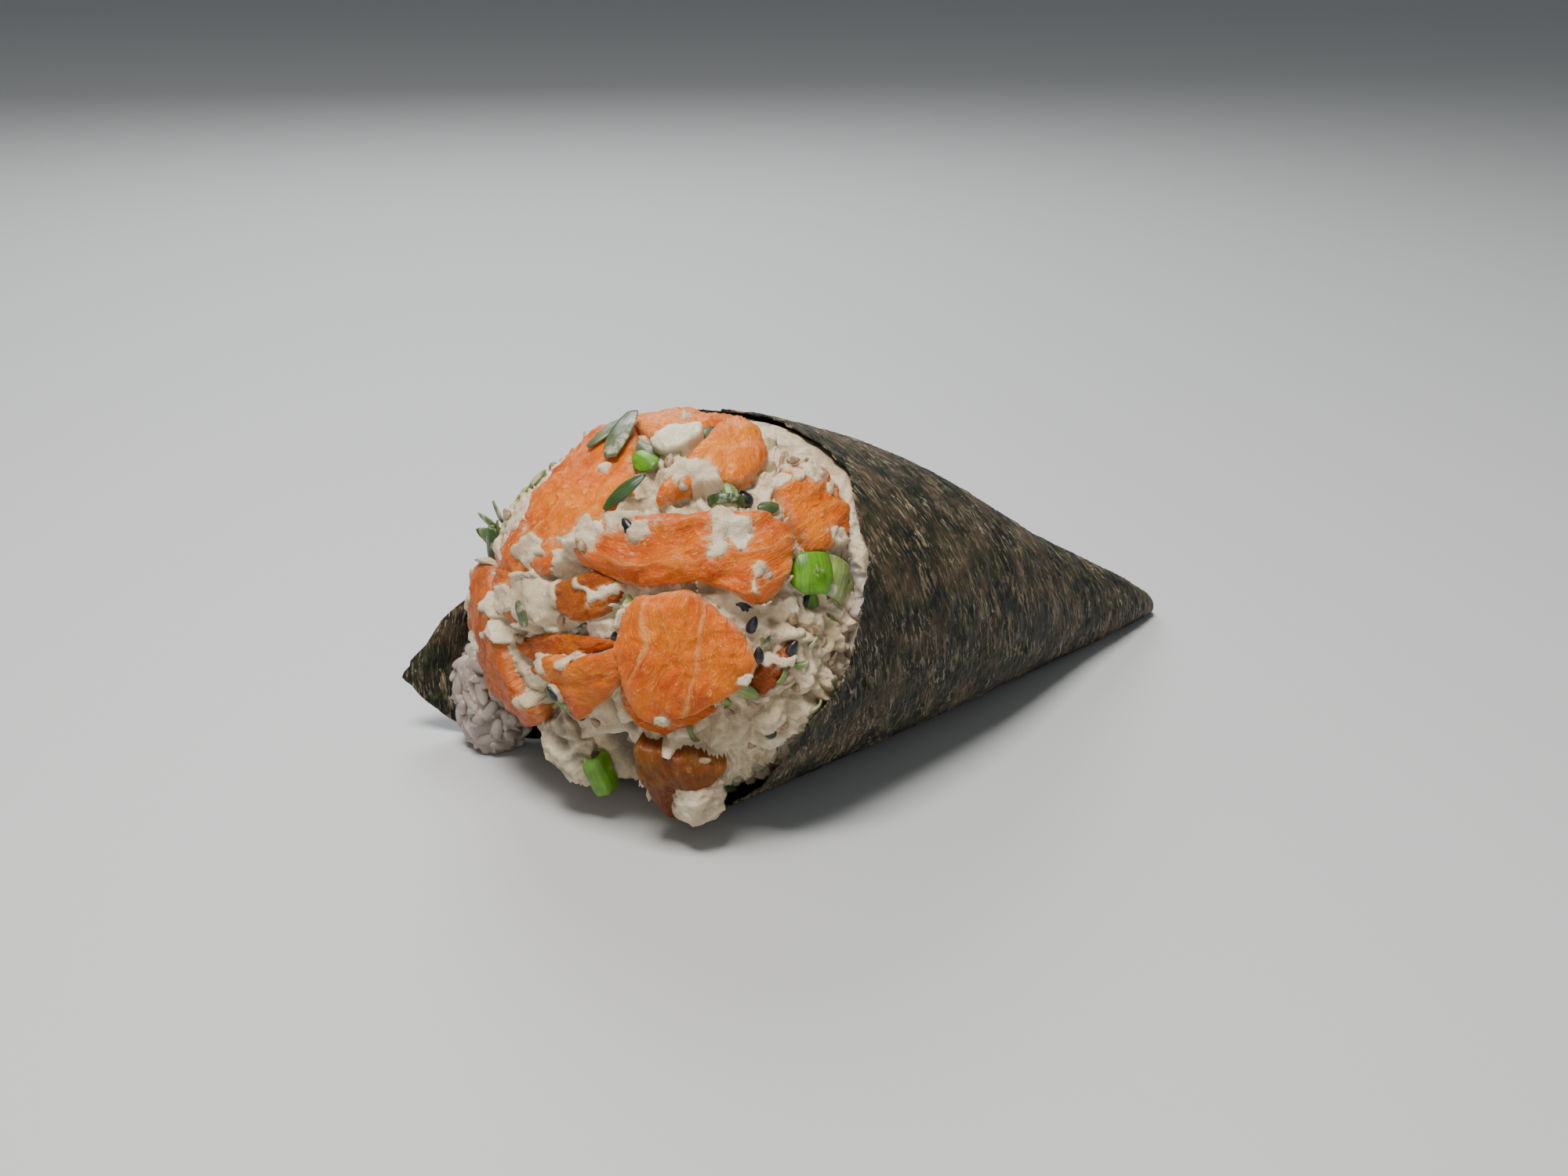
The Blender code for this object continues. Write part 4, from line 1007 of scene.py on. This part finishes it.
# Sesame
# Black and toasted tan sesame seeds, flat drops about 3 mm long, stirred into the dressing and stuck to it.
BLACK_SEED, TAN_SEED = (2.9, 1.7, 1.1), (2.6, 1.5, 1.0)
SEED_TIP, SEED_TAPER, SEED_ROWS, SEED_AROUND = 12.0, 0.35, 10, 14
BLACK_SEEDS = (
    (-1.6, 14.6, 40), (-2.1, -2.8, 150), (-26.5, 3.8, 100), (-24.4, 6.9, 5), (7.2, -15.3, 60),
    (6.8, -22.4, 20), (-35.4, 0.6, 110), (-33.4, -20, 45), (-18.8, 28.6, 10), (-37.5, 10.5, 120),
    (-28, -1, 80), (9.5, -23.5, 70),
    (41, 6, 20), (46, 30, 100), (50, -3, 60), (31, 38, 10),
)
TAN_SEEDS = (
    (-34.8, 6.7, 70), (-29.9, -12.3, 30), (-35.9, -18.2, 10), (-48.2, -1.6, 100), (-35.4, -6.3, 150),
    (4.6, 10.3, 40), (-23, 25.6, 120), (-20, 24, 20), (24.5, 13, 30), (8, -2.5, 110), (-24.5, -15, 60),
    (-41, 5, 20), (-45, 13.5, 80), (-7, 24.5, 30), (-25, 40, 140), (-46.5, 24, 50), (-30, -24, 90),
    (-39, -9, 10),
    (36, 0, 40), (42, 12, 130), (44, 25, 70), (33, 29, 20), (52, 6, 100), (-2, 29, 80), (17, -8.5, 20),
    (-20, -24, 150), (3, -23, 60), (-4, 46, 20), (29, 45, 60), (55, -2, 20),
)


def seed_finish(name, dark, light, roughness):
    """Seed coat between two tones, finely pitted."""
    finish, tree, shader, place = new_finish(name, roughness, Specular_IOR_Level=0.5)
    cloud = noise(tree, place["Object"], 900, Detail=3)
    coat = band(tree, cloud, (0.4, dark), (0.65, light))
    tree.links.new(coat, shader.inputs["Base Color"])
    raised(tree, shader, cloud, 0.0002, 0.5)
    return finish


def seeds(name, rows, size, finish):
    """Seeds laid in the dressing or on the salmon, each sunk by half its thickness and tipped up a little."""
    axes = np.array([face_frame(a, b, 0.0, turn, SEED_TIP)[1] for a, b, turn in rows])
    a, b, _ = np.array(rows, float).T
    places = on_face(a, b, surface_height(a, b) + 0.1)
    return joined_ovals(name, places, axes, size, SEED_TAPER, SEED_ROWS, SEED_AROUND, finish)


black_coat = seed_finish("black_sesame", (0.004, 0.004, 0.006), (0.03, 0.032, 0.04), 0.35)
tan_coat = seed_finish("tan_sesame", (0.20, 0.12, 0.06), (0.42, 0.29, 0.17), 0.45)
belongs(seeds("black_sesame", BLACK_SEEDS, BLACK_SEED, black_coat), "cream", "cream_filling")
belongs(seeds("tan_sesame", TAN_SEEDS, TAN_SEED, tan_coat), "cream", "cream_filling")

# Studio
# A plain pale floor, soft light from large panels, and the camera where the photograph was taken from.
CAMERA_PLACE = (-0.2150, -0.2343, 0.1490)
CAMERA_TURN, CAMERA_PITCH, CAMERA_ROLL = math.radians(39.75), math.radians(21.4), math.radians(0.77)
LENS, SENSOR = 43.2, 36.0
FLOOR_FRONT, FLOOR_BACK = 4, 6


def studio_floor():
    """A large flat pale floor."""
    mesh = bpy.data.meshes.new("studio_floor")
    near, far = FLOOR_FRONT, FLOOR_BACK
    corners = [(-near, -near, 0), (near, -near, 0), (near, far, 0), (-near, far, 0)]
    mesh.from_pydata(corners, [], [(0, 1, 2, 3)])
    finish, _, shader, _ = new_finish("pale_floor", 0.6)
    shader.inputs["Base Color"].default_value = (0.52, 0.53, 0.53, 1.0)
    mesh.materials.append(finish)
    floor = bpy.data.objects.new("studio_floor", mesh)
    bpy.context.scene.collection.objects.link(floor)


def studio_panel(name, place, target, size, power, colour):
    """A square panel of light that faces the target."""
    light = bpy.data.lights.new(name, "AREA")
    light.size = size
    light.energy = power
    light.color = colour
    lamp = bpy.data.objects.new(name, light)
    bpy.context.scene.collection.objects.link(lamp)
    aim = np.array(target) - np.array(place)
    lamp.location = place
    lamp.rotation_euler = (math.atan2(math.hypot(aim[0], aim[1]), -aim[2]), 0.0, math.atan2(-aim[0], aim[1]))


def studio_camera():
    """Camera from its turn, pitch and roll: its right, up and back are the columns of its matrix."""
    c, s = math.cos(CAMERA_ROLL), math.sin(CAMERA_ROLL)
    sin_pitch, cos_pitch = math.sin(CAMERA_PITCH), math.cos(CAMERA_PITCH)
    sin_turn, cos_turn = math.sin(CAMERA_TURN), math.cos(CAMERA_TURN)
    level = np.array(((c, s * sin_pitch, s * cos_pitch), (-s, c * sin_pitch, c * cos_pitch),
                      (0.0, -cos_pitch, sin_pitch)))
    axes = level @ np.array(((cos_turn, -sin_turn, 0), (sin_turn, cos_turn, 0), (0, 0, 1)))
    matrix = np.eye(4)
    matrix[:3, :3] = axes.T
    matrix[:3, 3] = CAMERA_PLACE
    data = bpy.data.cameras.new("camera")
    data.lens, data.sensor_width = LENS, SENSOR
    camera = bpy.data.objects.new("camera", data)
    camera.matrix_world = Matrix(matrix.tolist())
    bpy.context.scene.collection.objects.link(camera)
    bpy.context.scene.camera = camera


studio_floor()
studio_panel("key_panel", (-0.25, -0.10, 0.75), (-0.03, 0, 0.03), 0.26, 9.0, (1.0, 0.97, 0.93))
studio_panel("fill_panel", (-0.50, -0.60, 0.35), (-0.03, 0, 0.03), 0.5, 1.0, (1.0, 1.0, 1.0))
studio_panel("back_panel", (0.25, 0.55, 0.50), (0.0, 0, 0.03), 0.4, 3.5, (0.95, 0.98, 1.0))
world = bpy.data.worlds.new("soft_room")
world.use_nodes = True
world.node_tree.nodes["Background"].inputs["Color"].default_value = (0.8, 0.85, 0.9, 1.0)
world.node_tree.nodes["Background"].inputs["Strength"].default_value = 0.2
bpy.context.scene.world = world
studio_camera()
